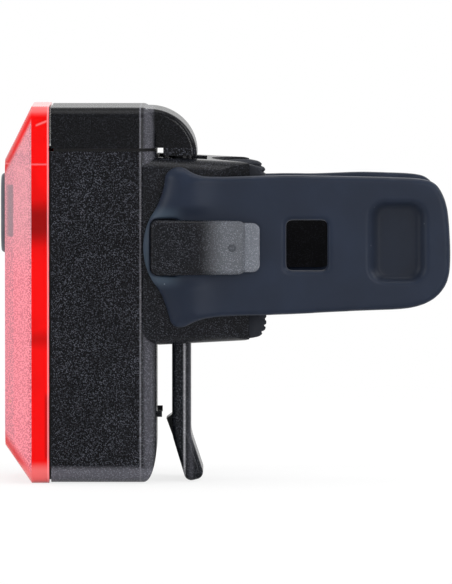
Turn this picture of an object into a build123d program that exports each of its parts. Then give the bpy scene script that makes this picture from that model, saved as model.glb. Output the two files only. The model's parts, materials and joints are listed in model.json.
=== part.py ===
from build123d import *
import os
from math import sqrt

os.makedirs("parts", exist_ok=True)

# Bicycle rear light with its belt clip, docked on a rubber-strapped seatpost bracket.
# The origin lies on the seatpost's axis, halfway up the bracket's pad. +Z is up. The light
# shines towards -X, the seatpost stands at the origin, and the strap arms reach out to +X.

# Seatpost and the rubber pad that beds on it
post_radius = 13.6
pad_thickness = 1.8
pad_height = 28.6
pad_half_width = 12.0
pad_corner = 2.6
rib_pitch = 1.05
rib_groove_width = 0.35
rib_groove_depth = 0.35

# Light: outer sizes, where its walls, cells, cap and nose don't set them
post_to_light = 24.4
housing_depth = 17.3
lens_depth = 7.3
body_wall = 1.6
hollow_chamfer = 1.2
back_corner = 2.8
back_end_depth = 2.3
back_end_height = 6.4
top_edge_radius = 2.0
bottom_edge_radius = 3.2

# Parting of the light: cap above, housing below, lens in front, with a seal in each joint
cap_height = 6.65
cap_seal_thickness = 0.5
lens_seal_thickness = 0.3
seal_width = 0.9
seal_inset = 0.45
seal_play = 0.05
skirt_play = 0.15

# Lens: bright rim, frosted tapered front, flat face
lens_rim_depth = 2.9
lens_proud = 0.15
lens_step_depth = 1.3
lens_face_side_taper = 3.5
lens_step_side_taper = 2.1
lens_face_top_taper = 8.6
lens_face_bottom_taper = 5.9
lens_wall = 1.3
lens_face_corner = 3.0
lens_lip_depth = 1.8
lens_lip_thickness = 1.0
lens_web_thickness = 1.0

# Button in the lens face
button_width = 8.0
button_height = 13.1
button_drop = 17.75
button_proud = 0.8
button_gap = 0.2
button_flange = 1.2
button_flange_thickness = 0.9
button_flange_play = 0.1
button_travel = 0.4
button_crown = 0.6

# Battery cells, standing side by side behind the board
cell_radius = 5.25
cell_length = 44.5
cell_nub_radius = 1.9
cell_nub_height = 0.8
cell_gap = 0.4
cell_play = 0.35
cell_side_room = 1.2
cell_spring_room = 3.4
cell_cap_room = 5.45

# Inner frame, circuit board and what the board carries
chassis_thickness = 1.2
chassis_play = 0.15
standoff_height = 1.0
standoff_radius = 1.7
board_thickness = 1.0
board_side_room = 1.6
board_top_room = 2.35
board_bottom_room = 1.85
board_screw_inset = 2.1
board_screw_top_drop = 2.3
board_screw_spacing = 23.5
screw_shank_radius = 0.7
screw_head_radius = 1.4
screw_head_height = 0.8
screw_slot_width = 0.4
screw_slot_depth = 0.4
thread_play = 0.05
switch_side = 6.0
switch_height = 3.4
plunger_radius = 1.7
plunger_bore_play = 0.05
plunger_sink = 0.6
plunger_height = 1.7
boss_radius = 2.2
lamp_rise = 9.8
lamp_side = 3.6
lamp_base_height = 0.8
lamp_dome_radius = 1.4
lamp_dome_height = 1.1
small_lamp_y = 6.4
small_lamp_drop = 13.9
small_lamp_side = 1.6
small_lamp_height = 0.7
reflector_throat_radius = 2.7
reflector_mouth_radius = 7.2
reflector_wall = 0.7
reflector_depth = 5.4
chip_side = 4.0
chip_height = 0.9
chip_drop = 9.1
capacitor_radius = 1.5
capacitor_height = 2.2
capacitor_drop = 19.1
resistor_length = 1.6
resistor_width = 0.8
resistor_height = 0.5
resistor_pitch = 1.6
resistor_y = 7.6
resistor_drop = 3.5

# Metal strips: two springs under the cells, one bridge above them
strip_thickness = 0.3
spring_width = 5.0
spring_seat_length = 3.0
spring_foot_length = 2.2
spring_tab_height = 2.2
tab_play = 0.05
bridge_width = 5.0
cell_contact_play = 0.1
carrier_width = 6.4
carrier_height = 1.4

# Nose of the cap, which holds the belt clip's pivot
nose_radius = 7.95
nose_top_drop = 0.25
nose_setback = 1.3
nose_half_width = 11.2
nose_edge_radius = 0.9
nose_relief_depth = 1.1
nose_bracket_gap = 0.15
pivot_x_from_back = 2.8
pivot_drop = 5.35
pivot_pin_radius = 0.75
pivot_pin_length = 20.0
pivot_play = 0.05
knuckle_radius = 1.6
knuckle_play = 0.35

# Belt clip
clip_gap = 2.5
clip_thickness = 3.1
clip_width = 15.0
clip_side_play = 0.3
clip_bend_drop = 30.4
clip_end_run = 7.8
clip_flare = 2.35
clip_mouth_play = 0.55
clip_end_slant = 0.75
clip_end_radius = 1.2
clip_bend_radius = 6.0
clip_edge_radius = 0.8
barb_reach = 0.95
barb_top_drop = 27.3
barb_tip_drop = 28.0
barb_half_width = 3.0
nub_radius = 0.5
nub_reach = 0.85
nub_spread = 14.3
nub_drop = 27.0
spring_slot_half_width = 2.0
coil_wire = 0.5
coil_play = 0.15
coil_leg_length = 3.0

# Bracket
bracket_half_width = 14.2
bracket_rear_half_width = 12.4
bracket_front_height = 31.0
bracket_rear_height = 29.2
bracket_taper_start = 15.0
bracket_rear_reach = 9.2
bracket_edge_radius = 2.9
bracket_top_corner = 1.3
bracket_bottom_corner = 3.0
cheek_reach = 2.2
dock_gap = 0.3
pad_seat_gap = 0.02
pocket_side_play = 0.4
slit_play = 0.4
nub_groove_depth = 0.95
nub_groove_play = 0.6

# Hooks moulded on the bracket's sides
hook_rise = 0.9
hook_root_reach = 25.3
hook_tip_reach = 7.5
hook_root_length = 4.8
hook_root_height = 9.1
hook_tip_height = 8.7
hook_thickness = 2.6
hook_end_thickness = 1.7
hook_bend_reach = 17.0
hook_bend_radius = 25.0
hook_corner = 1.2
hook_edge_radius = 0.7
hook_step_length = 2.3
hook_step_depth = 0.4
hook_step_inset = 0.35
hook_step_edge_radius = 0.5
ejector_mark_radius = 0.65
ejector_mark_depth = 0.25
ejector_mark_setback = 4.55

# Rubber strap: two arms with an eye round each hook, a square hole and a finger recess
strap_thickness = 2.8
strap_side_gap = 0.1
strap_half_width = 11.05
eye_wall = 1.1
strap_tip_half_width = 4.4
strap_shoulder_setback = 3.5
strap_shoulder_half_width = 10.7
strap_flare_setback = 5.2
strap_flare_half_width = 13.3
strap_neck_setback = 8.2
strap_end_reach = 23.5
strap_end_top = 11.1
strap_end_bottom = 10.2
strap_end_corner = 6.5
strap_outline_radius = 1.8
strap_edge_radius = 0.45
eye_play = 0.1
flex_x = -6.2
flex_gap = 0.3
hole_width = 6.75
hole_height = 8.25
hole_centre_x = 0.2
hole_centre_z = 1.2
hole_corner = 0.8
recess_width = 9.4
recess_height = 13.1
recess_centre_x = 14.9
recess_centre_z = 1.5
recess_corner = 2.5
recess_depth = 1.2
recess_floor_width = 6.2
recess_floor_height = 11.3
recess_floor_corner = 1.4

# Closing stud in the far arm's hole: low flange inside, head outside for the near arm's hole
stud_flange_margin = 0.9
stud_flange_thickness = 0.5
stud_neck_play = 0.1
stud_neck_length = 2.6
stud_neck_inset = 0.6
stud_head_thickness = 1.2
stud_head_play = 0.3
stud_corner = 0.7

# One overrun for every cut
overrun = 2.0

# Places that follow from the sizes above
body_width = 4 * cell_radius + cell_gap + 2 * (cell_side_room + body_wall)
body_half = body_width / 2
nose_bottom_z = bracket_front_height / 2 + nose_bracket_gap
body_rise = nose_bottom_z + nose_radius
cap_bottom_z = body_rise - cap_height
cell_top_z = cap_bottom_z - cell_cap_room
cell_bottom_z = cell_top_z - cell_length
floor_z = cell_bottom_z - cell_spring_room
body_drop = body_wall - floor_z
back_x = -post_to_light
housing_front_x = back_x - housing_depth
lens_back_x = housing_front_x - lens_seal_thickness
lens_front_x = lens_back_x - lens_depth
lens_rim_x = lens_back_x - lens_rim_depth
lens_step_x = lens_front_x + lens_step_depth
housing_top_z = cap_bottom_z - cap_seal_thickness - seal_play
plug_inset = body_wall + skirt_play
cell_axis_x = back_x - body_wall - cell_play - cell_radius
cell_axis_y = cell_radius + cell_gap / 2
chassis_back_x = cell_axis_x - cell_radius - cell_play
chassis_front_x = chassis_back_x - chassis_thickness
board_back_x = chassis_front_x - standoff_height
board_front_x = board_back_x - board_thickness
board_half_width = body_half - body_wall - board_side_room
board_top_z = housing_top_z - board_top_room
board_bottom_z = floor_z + board_bottom_room
button_centre_z = body_rise - button_drop
lamp_z = board_bottom_z + lamp_rise
bridge_bottom_z = cell_top_z + cell_contact_play
bridge_top_z = bridge_bottom_z + strip_thickness
saddle_radius = post_radius + pad_thickness
clip_end_drop = clip_bend_drop + clip_end_run
clip_front_x = back_x + clip_gap
clip_rear_x = clip_front_x + clip_thickness
pivot_x = back_x + pivot_x_from_back
pivot_z = body_rise - pivot_drop
nose_centre_x = back_x - nose_setback
strap_tip_reach = hook_root_reach + eye_wall
strap_shoulder_reach = strap_tip_reach - strap_shoulder_setback
strap_flare_reach = strap_tip_reach - strap_flare_setback
strap_neck_reach = strap_tip_reach - strap_neck_setback
strap_inner_y = bracket_half_width + strap_side_gap
strap_outer_y = strap_inner_y + strap_thickness
strap_mid_y = strap_inner_y + strap_thickness / 2
hook_inner_y = strap_outer_y + strap_side_gap
hook_outer_y = hook_inner_y + hook_thickness
hook_step_reach = hook_tip_reach + hook_step_length


# Outlines shared by several pieces

def front_outline(inset):
    """The light's outline seen from the front, drawn in by inset: width across, height up."""
    with BuildSketch() as outline:
        with Locations((0, (body_rise - body_drop) / 2)):
            Rectangle(body_width - 2 * inset, body_rise + body_drop - 2 * inset)
        fillet(outline.vertices().group_by(Axis.Y)[-1], max(top_edge_radius - inset, inset / 2))
        fillet(outline.vertices().group_by(Axis.Y)[0], max(bottom_edge_radius - inset, inset / 2))
    return outline.sketch


def back_plan(inset, corner, front_x):
    """Plan of the light's back: square in front, rounded at its two rear corners."""
    length = back_x - inset - front_x
    with BuildSketch() as plan:
        with Locations((front_x + length / 2, 0)):
            Rectangle(length, body_width - 2 * inset)
        fillet(plan.vertices().group_by(Axis.X)[-1], corner)
    return plan.sketch


def body_form():
    """Solid of housing and cap together: rounded in plan, rolled forward at both ends."""
    roll_x = back_x - back_end_depth
    with BuildPart() as form:
        with BuildSketch(Plane.XY.offset(-body_drop - overrun)):
            add(back_plan(0, back_corner, housing_front_x))
        extrude(amount=body_drop + body_rise + 2 * overrun)
        with BuildSketch(Plane.XZ.offset(-body_width)):
            with BuildLine():
                EllipticalCenterArc(
                    (roll_x, body_rise - back_end_height),
                    back_end_depth,
                    back_end_height,
                    0,
                    arc_size=90,
                )
                Polyline(
                    (roll_x, body_rise),
                    (housing_front_x - overrun, body_rise),
                    (housing_front_x - overrun, -body_drop),
                    (roll_x, -body_drop),
                )
                EllipticalCenterArc(
                    (roll_x, -body_drop + back_end_height),
                    back_end_depth,
                    back_end_height,
                    270,
                    arc_size=90,
                )
                Line((back_x, -body_drop + back_end_height), (back_x, body_rise - back_end_height))
            make_face()
        extrude(amount=2 * body_width, mode=Mode.INTERSECT)
        with BuildSketch(Plane.YZ.offset(housing_front_x - 2 * overrun)):
            add(front_outline(0))
        extrude(amount=housing_depth + 4 * overrun, mode=Mode.INTERSECT)
    return form.part


def body_hollow():
    """Solid of the room inside housing and cap together, run out in front."""
    inner_back_x = back_x - body_wall
    top = body_rise - body_wall
    bottom = -body_drop + body_wall
    with BuildPart() as hollow:
        with BuildSketch(Plane.XZ.offset(-(body_half - body_wall))):
            with BuildLine():
                Polyline(
                    (housing_front_x - overrun, top),
                    (inner_back_x - hollow_chamfer, top),
                    (inner_back_x, top - 2 * hollow_chamfer),
                    (inner_back_x, bottom + 2 * hollow_chamfer),
                    (inner_back_x - hollow_chamfer, bottom),
                    (housing_front_x - overrun, bottom),
                    close=True,
                )
            make_face()
        extrude(amount=body_width - 2 * body_wall)
    return hollow.part


# Housing: the rear shell that holds the cells, open in front and at the top

with BuildPart() as housing:
    add(body_form())
    add(body_hollow(), mode=Mode.SUBTRACT)
    split(bisect_by=Plane.XY.offset(housing_top_z), keep=Keep.BOTTOM)
    with BuildSketch(Plane.YZ.offset(back_x - body_wall / 2)):
        with Locations((-nub_spread / 2, -nub_drop), (nub_spread / 2, -nub_drop)):
            Circle(nub_radius)
    extrude(amount=body_wall / 2 + nub_reach)

housing.part.label = "housing"
export_step(housing.part, "parts/housing.step")


# End cap: closes the cells' bay, with the nose that the belt clip hangs from

plug_front_x = chassis_back_x + skirt_play

with BuildPart() as nose:
    with BuildSketch(Plane.XZ.offset(-nose_half_width)):
        with BuildLine():
            EllipticalCenterArc(
                (nose_centre_x, nose_bottom_z), nose_radius, nose_radius - nose_top_drop, 0, arc_size=90
            )
            Polyline(
                (nose_centre_x, nose_bottom_z + nose_radius - nose_top_drop),
                (back_x - back_end_depth, nose_bottom_z + nose_radius - nose_top_drop),
                (back_x - back_end_depth, cap_bottom_z),
                (back_x + nose_relief_depth, cap_bottom_z),
                (back_x + nose_relief_depth, nose_bottom_z),
                (nose_centre_x + nose_radius, nose_bottom_z),
            )
        make_face()
    extrude(amount=2 * nose_half_width)
    fillet(nose.edges().filter_by(GeomType.ELLIPSE), nose_edge_radius)

with BuildPart() as end_cap:
    add(body_form())
    split(bisect_by=Plane.XY.offset(cap_bottom_z), keep=Keep.TOP)
    add(nose.part)
    # Plug that enters the housing
    with BuildSketch(Plane.XY.offset(bridge_top_z)):
        add(back_plan(plug_inset, back_corner - body_wall / 2, plug_front_x))
    extrude(amount=cap_bottom_z + body_wall - bridge_top_z)
    with BuildSketch(Plane.XY.offset(bridge_top_z)):
        add(back_plan(plug_inset + body_wall, back_corner / 2, plug_front_x + body_wall))
    extrude(amount=body_rise - body_wall - bridge_top_z, mode=Mode.SUBTRACT)
    # Bar that presses the bridge strip on the cells
    with BuildSketch(Plane.XY.offset(bridge_top_z)):
        with Locations((cell_axis_x, 0)):
            Rectangle(carrier_width, body_width - 2 * plug_inset - body_wall)
    extrude(amount=carrier_height)
    # Room for the clip's knuckle and its swing, open below
    with BuildSketch(Plane.XZ):
        with Locations((pivot_x, pivot_z)):
            Circle(knuckle_radius + knuckle_play)
        with BuildLine():
            Polyline(
                (clip_front_x - clip_mouth_play, nose_bottom_z - overrun),
                (clip_front_x - clip_mouth_play, pivot_z),
                (pivot_x + knuckle_radius + knuckle_play, pivot_z),
                (clip_rear_x + clip_mouth_play, nose_bottom_z),
                (clip_rear_x + clip_mouth_play, nose_bottom_z - overrun),
                close=True,
            )
        make_face()
    extrude(amount=clip_width / 2 + clip_side_play, both=True, mode=Mode.SUBTRACT)
    # Pin hole, blind on the near side and open on the far side
    with BuildSketch(Plane.XZ.offset(pivot_pin_length / 2)):
        with Locations((pivot_x, pivot_z)):
            Circle(pivot_pin_radius)
    extrude(amount=-(pivot_pin_length / 2 + nose_half_width + overrun), mode=Mode.SUBTRACT)

end_cap.part.label = "end_cap"
export_step(end_cap.part, "parts/end_cap.step")


# Seal between cap and housing

with BuildPart() as cap_seal:
    with BuildSketch(Plane.XY.offset(housing_top_z)):
        add(back_plan(seal_inset, back_corner - seal_inset, housing_front_x + seal_inset))
        add(
            back_plan(
                seal_inset + seal_width,
                back_corner - seal_inset - seal_width,
                housing_front_x + seal_inset + seal_width,
            ),
            mode=Mode.SUBTRACT,
        )
    extrude(amount=cap_seal_thickness)

cap_seal.part.label = "cap_seal"
export_step(cap_seal.part, "parts/cap_seal.step")


# Lens: one red moulding, with a lip that plugs into the housing

def lens_section(half_width, rise, drop):
    """One rounded outline of the lens's tapered front."""
    with BuildSketch() as section:
        with Locations((0, (rise - drop) / 2)):
            RectangleRounded(2 * half_width, rise + drop, lens_face_corner)
    return section.sketch


def lens_form(inset, back_run):
    """Solid of the lens drawn in by inset, run out behind by back_run."""
    step_share = 1 - lens_step_depth / (lens_rim_x - lens_front_x)
    step_rise = body_rise - step_share * lens_face_top_taper
    step_drop = body_drop - step_share * lens_face_bottom_taper
    with BuildPart() as form:
        with BuildSketch(Plane.YZ.offset(lens_rim_x)):
            add(front_outline(inset - lens_proud))
        extrude(amount=lens_rim_depth + back_run)
        with BuildSketch(Plane.YZ.offset(lens_rim_x)):
            add(front_outline(inset - lens_proud))
        with BuildSketch(Plane.YZ.offset(lens_step_x + inset / 2)):
            add(
                lens_section(
                    body_half - lens_step_side_taper - inset, step_rise - inset, step_drop - inset
                )
            )
        with BuildSketch(Plane.YZ.offset(lens_front_x + inset)):
            add(
                lens_section(
                    body_half - lens_face_side_taper - inset,
                    body_rise - lens_face_top_taper - inset,
                    body_drop - lens_face_bottom_taper - inset,
                )
            )
        loft(ruled=True)
    return form.part


with BuildPart() as lens:
    add(lens_form(0, 0))
    add(lens_form(lens_wall, 2 * overrun), mode=Mode.SUBTRACT)
    # Web that closes the lens behind, where the cap can be taken away
    with BuildSketch(Plane.YZ.offset(lens_back_x)):
        add(front_outline(lens_wall / 2))
        with Locations((0, housing_top_z - body_drop)):
            Rectangle(body_width, 2 * body_drop, mode=Mode.SUBTRACT)
    extrude(amount=-lens_web_thickness)
    # Flange all round, and the lip on it that enters the housing below the cap
    with BuildSketch(Plane.YZ.offset(lens_back_x)):
        add(front_outline(lens_wall / 2))
        add(front_outline(plug_inset + lens_lip_thickness), mode=Mode.SUBTRACT)
    extrude(amount=-lens_web_thickness)
    with BuildSketch(Plane.YZ.offset(lens_back_x - lens_web_thickness / 2)):
        add(front_outline(plug_inset))
        add(front_outline(plug_inset + lens_lip_thickness), mode=Mode.SUBTRACT)
        with Locations((0, housing_top_z - skirt_play + body_rise)):
            Rectangle(body_width, 2 * body_rise, mode=Mode.SUBTRACT)
    extrude(amount=lens_web_thickness / 2 + lens_seal_thickness + lens_lip_depth)
    with BuildSketch(Plane.YZ.offset(lens_front_x)):
        with Locations((0, button_centre_z)):
            RectangleRounded(
                button_width + 2 * button_gap,
                button_height + 2 * button_gap,
                button_width / 2,
            )
    extrude(amount=lens_wall + overrun, both=True, mode=Mode.SUBTRACT)

lens.part.label = "lens"
export_step(lens.part, "parts/lens.step")


# Seal between lens and housing

with BuildPart() as lens_seal:
    with BuildSketch(Plane.YZ.offset(lens_back_x)):
        add(front_outline(seal_inset))
        add(front_outline(seal_inset + seal_width), mode=Mode.SUBTRACT)
        with Locations((0, cap_bottom_z + body_rise)):
            Rectangle(body_width, 2 * (body_rise + cap_seal_thickness), mode=Mode.SUBTRACT)
    extrude(amount=lens_seal_thickness)

lens_seal.part.label = "lens_seal"
export_step(lens_seal.part, "parts/lens_seal.step")


# Button: soft rubber, held behind the lens face by its flange

button_flange_x = lens_front_x + lens_wall + button_flange_play
switch_front_x = board_front_x - switch_height
plunger_front_x = switch_front_x - plunger_height

with BuildPart() as button:
    with BuildSketch(Plane.YZ.offset(button_flange_x)):
        with Locations((0, button_centre_z)):
            RectangleRounded(
                button_width + 2 * button_flange,
                button_height + 2 * button_flange,
                button_width / 2 + button_flange / 2,
            )
    extrude(amount=button_flange_thickness)
    with BuildSketch(Plane.YZ.offset(lens_front_x - button_proud)):
        with Locations((0, button_centre_z)):
            RectangleRounded(button_width, button_height, button_width / 2 - button_gap / 2)
    extrude(amount=button_flange_x - lens_front_x + button_proud)
    fillet(button.faces().sort_by(Axis.X)[0].edges(), button_crown)
    with BuildSketch(Plane.YZ.offset(plunger_front_x)):
        with Locations((0, button_centre_z)):
            Circle(boss_radius)
    extrude(amount=button_flange_x - plunger_front_x)

button.part.label = "button"
export_step(button.part, "parts/button.step")


# Inner frame: parts the cells from the board and carries the board on four standoffs

board_screw_y = board_half_width - board_screw_inset
board_screw_top_z = board_top_z - board_screw_top_drop
board_screw_places = [
    (-board_screw_y, board_screw_top_z),
    (board_screw_y, board_screw_top_z),
    (-board_screw_y, board_screw_top_z - board_screw_spacing),
    (board_screw_y, board_screw_top_z - board_screw_spacing),
]

with BuildPart() as inner_frame:
    with BuildSketch(Plane.YZ.offset(chassis_front_x)):
        add(front_outline(body_wall + chassis_play))
        with Locations((0, housing_top_z - chassis_play + body_rise)):
            Rectangle(body_width, 2 * body_rise, mode=Mode.SUBTRACT)
    extrude(amount=chassis_thickness)
    with BuildSketch(Plane.YZ.offset(board_back_x)):
        with Locations(*board_screw_places):
            Circle(standoff_radius)
    extrude(amount=standoff_height)
    with BuildSketch(Plane.YZ.offset(board_back_x)):
        with Locations(*board_screw_places):
            Circle(screw_shank_radius + thread_play)
    extrude(amount=standoff_height + chassis_thickness, mode=Mode.SUBTRACT)
    # Notches under which the springs' tabs pass to the board
    with BuildSketch(Plane.YZ.offset(chassis_front_x)):
        with Locations((-cell_axis_y, floor_z), (cell_axis_y, floor_z)):
            Rectangle(spring_width + 2 * chassis_play, 2 * (strip_thickness + 2 * chassis_play))
    extrude(amount=chassis_thickness, mode=Mode.SUBTRACT)

inner_frame.part.label = "inner_frame"
export_step(inner_frame.part, "parts/inner_frame.step")


# Circuit board

with BuildPart() as circuit_board:
    with BuildSketch(Plane.YZ.offset(board_front_x)):
        with Locations((0, (board_top_z + board_bottom_z) / 2)):
            RectangleRounded(
                2 * board_half_width, board_top_z - board_bottom_z, standoff_radius
            )
        with Locations(*board_screw_places):
            Circle(screw_shank_radius + thread_play, mode=Mode.SUBTRACT)
    extrude(amount=board_thickness)

circuit_board.part.label = "circuit_board"
export_step(circuit_board.part, "parts/circuit_board.step")


# Four slotted screws that hold the board

with BuildPart() as board_screws:
    with BuildSketch(Plane.YZ.offset(board_front_x - screw_head_height)):
        with Locations(*board_screw_places):
            Circle(screw_head_radius)
    extrude(amount=screw_head_height)
    with BuildSketch(Plane.YZ.offset(board_front_x)):
        with Locations(*board_screw_places):
            Circle(screw_shank_radius)
    extrude(amount=board_thickness + standoff_height + chassis_thickness)
    with BuildSketch(Plane.YZ.offset(board_front_x - screw_head_height)):
        with Locations(*board_screw_places):
            Rectangle(2 * screw_head_radius, screw_slot_width)
    extrude(amount=screw_slot_depth, mode=Mode.SUBTRACT)

board_screws.part.label = "board_screws"
export_step(board_screws.part, "parts/board_screws.step")


# Push switch: a square case with the plunger's bore

with BuildPart() as switch_case:
    with BuildSketch(Plane.YZ.offset(switch_front_x)):
        with Locations((0, button_centre_z)):
            Rectangle(switch_side, switch_side)
    extrude(amount=switch_height)
    with BuildSketch(Plane.YZ.offset(switch_front_x)):
        with Locations((0, button_centre_z)):
            Circle(plunger_radius + plunger_bore_play)
    extrude(amount=plunger_sink + 2 * button_travel, mode=Mode.SUBTRACT)

switch_case.part.label = "switch_case"
export_step(switch_case.part, "parts/switch_case.step")

with BuildPart() as switch_plunger:
    with BuildSketch(Plane.YZ.offset(plunger_front_x)):
        with Locations((0, button_centre_z)):
            Circle(plunger_radius)
    extrude(amount=plunger_height + plunger_sink)

switch_plunger.part.label = "switch_plunger"
export_step(switch_plunger.part, "parts/switch_plunger.step")


# Light-emitting diodes: one strong one in the reflector and two small ones above it

with BuildPart() as main_led:
    with BuildSketch(Plane.YZ.offset(board_front_x - lamp_base_height)):
        with Locations((0, lamp_z)):
            Rectangle(lamp_side, lamp_side)
    extrude(amount=lamp_base_height)
    with BuildSketch(Plane.YZ.offset(board_front_x - lamp_base_height - lamp_dome_height)):
        with Locations((0, lamp_z)):
            Circle(lamp_dome_radius)
    extrude(amount=lamp_dome_height)
    fillet(main_led.faces().sort_by(Axis.X)[0].edges(), lamp_dome_height / 2)

main_led.part.label = "main_led"
export_step(main_led.part, "parts/main_led.step")

small_lamp_z = button_centre_z - small_lamp_drop

with BuildPart() as small_leds:
    with BuildSketch(Plane.YZ.offset(board_front_x - small_lamp_height)):
        with Locations((-small_lamp_y, small_lamp_z), (small_lamp_y, small_lamp_z)):
            Rectangle(small_lamp_side, small_lamp_side)
    extrude(amount=small_lamp_height)

small_leds.part.label = "small_leds"
export_step(small_leds.part, "parts/small_leds.step")


# Reflector: a bright cup that stands on the board round the strong diode

with BuildPart() as reflector:
    with BuildSketch(Plane.XZ):
        with BuildLine():
            Polyline(
                (board_front_x, lamp_z + reflector_throat_radius),
                (board_front_x - lamp_base_height, lamp_z + reflector_throat_radius),
                (board_front_x - reflector_depth, lamp_z + reflector_mouth_radius),
                (board_front_x - reflector_depth, lamp_z + reflector_mouth_radius + reflector_wall),
                (
                    board_front_x - lamp_base_height + reflector_wall / 2,
                    lamp_z + reflector_throat_radius + reflector_wall,
                ),
                (board_front_x, lamp_z + reflector_throat_radius + reflector_wall),
                close=True,
            )
        make_face()
    revolve(axis=Axis((board_front_x, 0, lamp_z), (1, 0, 0)))

reflector.part.label = "reflector"
export_step(reflector.part, "parts/reflector.step")


# Small parts soldered on the board: controller, capacitor and a row of resistors

with BuildPart() as board_parts:
    with BuildSketch(Plane.YZ.offset(board_front_x - chip_height)):
        with Locations((0, button_centre_z - chip_drop)):
            Rectangle(chip_side, chip_side)
    extrude(amount=chip_height)
    with BuildSketch(Plane.YZ.offset(board_front_x - capacitor_height)):
        with Locations((0, button_centre_z - capacitor_drop)):
            Circle(capacitor_radius)
    extrude(amount=capacitor_height)
    with BuildSketch(Plane.YZ.offset(board_front_x - resistor_height)):
        resistor_z = button_centre_z - resistor_drop
        with Locations((-resistor_y, resistor_z), (resistor_y, resistor_z)):
            with GridLocations(0, resistor_pitch, 1, 3):
                Rectangle(resistor_length, resistor_width)
    extrude(amount=resistor_height)

board_parts.part.label = "board_parts"
export_step(board_parts.part, "parts/board_parts.step")


# Battery cells: one stands nub up and the other nub down

def cell(axis_y, nub_up):
    """One upright cell with its nub at the chosen end."""
    can_bottom_z = cell_bottom_z if nub_up else cell_bottom_z + cell_nub_height
    nub_bottom_z = cell_top_z - cell_nub_height if nub_up else cell_bottom_z
    with BuildPart() as one_cell:
        with BuildSketch(Plane.XY.offset(can_bottom_z)):
            with Locations((cell_axis_x, axis_y)):
                Circle(cell_radius)
        extrude(amount=cell_length - cell_nub_height)
        fillet(one_cell.edges().filter_by(GeomType.CIRCLE), cell_play)
        with BuildSketch(Plane.XY.offset(nub_bottom_z)):
            with Locations((cell_axis_x, axis_y)):
                Circle(cell_nub_radius)
        extrude(amount=cell_nub_height)
    return one_cell.part


with BuildPart() as battery_near:
    add(cell(-cell_axis_y, True))

battery_near.part.label = "battery_near"
export_step(battery_near.part, "parts/battery_near.step")

with BuildPart() as battery_far:
    add(cell(cell_axis_y, False))

battery_far.part.label = "battery_far"
export_step(battery_far.part, "parts/battery_far.step")


# Springs under the cells: bent strips, each with a tab that rises to the back of the board

spring_foot_z = floor_z + strip_thickness / 2 + seal_play
spring_seat_z = cell_bottom_z - strip_thickness / 2 - tab_play
spring_tab_x = board_back_x + strip_thickness / 2 + tab_play
spring_heel_x = cell_axis_x + spring_seat_length / 2 + spring_foot_length

with BuildPart() as battery_springs:
    for axis_y in (-cell_axis_y, cell_axis_y):
        with BuildSketch(Plane.XZ.offset(-axis_y - spring_width / 2)):
            with BuildLine():
                spring_line = Polyline(
                    (spring_tab_x, spring_foot_z + spring_tab_height),
                    (spring_tab_x, spring_foot_z),
                    (spring_heel_x, spring_foot_z),
                    (cell_axis_x + spring_seat_length / 2, spring_seat_z),
                    (cell_axis_x - spring_seat_length / 2, spring_seat_z),
                )
            trace(spring_line, line_width=strip_thickness)
        extrude(amount=spring_width)

battery_springs.part.label = "battery_springs"
export_step(battery_springs.part, "parts/battery_springs.step")


# Bridge strip under the cap, joining the two cells

with BuildPart() as contact_bridge:
    with BuildSketch(Plane.XY.offset(bridge_bottom_z)):
        with Locations((cell_axis_x, 0)):
            Rectangle(bridge_width, 2 * cell_axis_y + bridge_width)
    extrude(amount=strip_thickness)

contact_bridge.part.label = "contact_bridge"
export_step(contact_bridge.part, "parts/contact_bridge.step")


# Belt clip: a tongue that hangs from the pin in the nose, with a barb and a flared end

coil_inner_radius = pivot_pin_radius + pivot_play
coil_outer_radius = coil_inner_radius + coil_wire
coil_leg_x = pivot_x + coil_inner_radius + coil_wire / 2

with BuildPart() as belt_clip:
    with BuildSketch(Plane.XZ.offset(-clip_width / 2)) as tongue:
        with BuildLine():
            Polyline(
                (clip_front_x, pivot_z),
                (clip_front_x, -clip_bend_drop),
                (clip_front_x + clip_flare, -clip_end_drop),
                (clip_rear_x + clip_flare, -clip_end_drop + clip_end_slant),
                (clip_rear_x, -clip_bend_drop),
                (clip_rear_x, nose_bottom_z),
                (pivot_x + knuckle_radius, pivot_z),
                close=True,
            )
        make_face()
        fillet(
            tongue.vertices().filter_by(lambda point: point.Y < -clip_bend_drop - clip_thickness),
            clip_end_radius,
        )
        fillet(
            tongue.vertices().filter_by(lambda point: abs(point.Y + clip_bend_drop) < seal_play),
            clip_bend_radius,
        )
    extrude(amount=clip_width)
    fillet(belt_clip.faces().filter_by(Axis.Y).edges(), clip_edge_radius)
    with BuildSketch(Plane.XZ.offset(-clip_width / 2)):
        with Locations((pivot_x, pivot_z)):
            Circle(knuckle_radius)
    extrude(amount=clip_width)
    with BuildSketch(Plane.XZ):
        with BuildLine():
            Polyline(
                (clip_front_x, -barb_top_drop),
                (clip_front_x - barb_reach, -barb_tip_drop),
                (clip_front_x + clip_flare, -clip_end_drop + clip_end_radius),
                (clip_front_x + clip_thickness / 2, -clip_bend_drop),
                (clip_front_x + clip_thickness / 2, -barb_top_drop),
                close=True,
            )
        make_face()
    extrude(amount=barb_half_width, both=True)
    # Slot for the coil and its leg, and the pin's bore
    with BuildSketch(Plane.XZ):
        with Locations((pivot_x, pivot_z)):
            Circle(knuckle_radius + knuckle_play)
        with Locations((coil_leg_x, pivot_z - coil_leg_length / 2)):
            Rectangle(coil_wire + 2 * coil_play, coil_leg_length + 2 * coil_play)
    extrude(amount=spring_slot_half_width, both=True, mode=Mode.SUBTRACT)
    with BuildSketch(Plane.XZ):
        with Locations((pivot_x, pivot_z)):
            Circle(pivot_pin_radius + pivot_play)
    extrude(amount=clip_width, both=True, mode=Mode.SUBTRACT)

belt_clip.part.label = "belt_clip"
export_step(belt_clip.part, "parts/belt_clip.step")


# Pin across the nose

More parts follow.
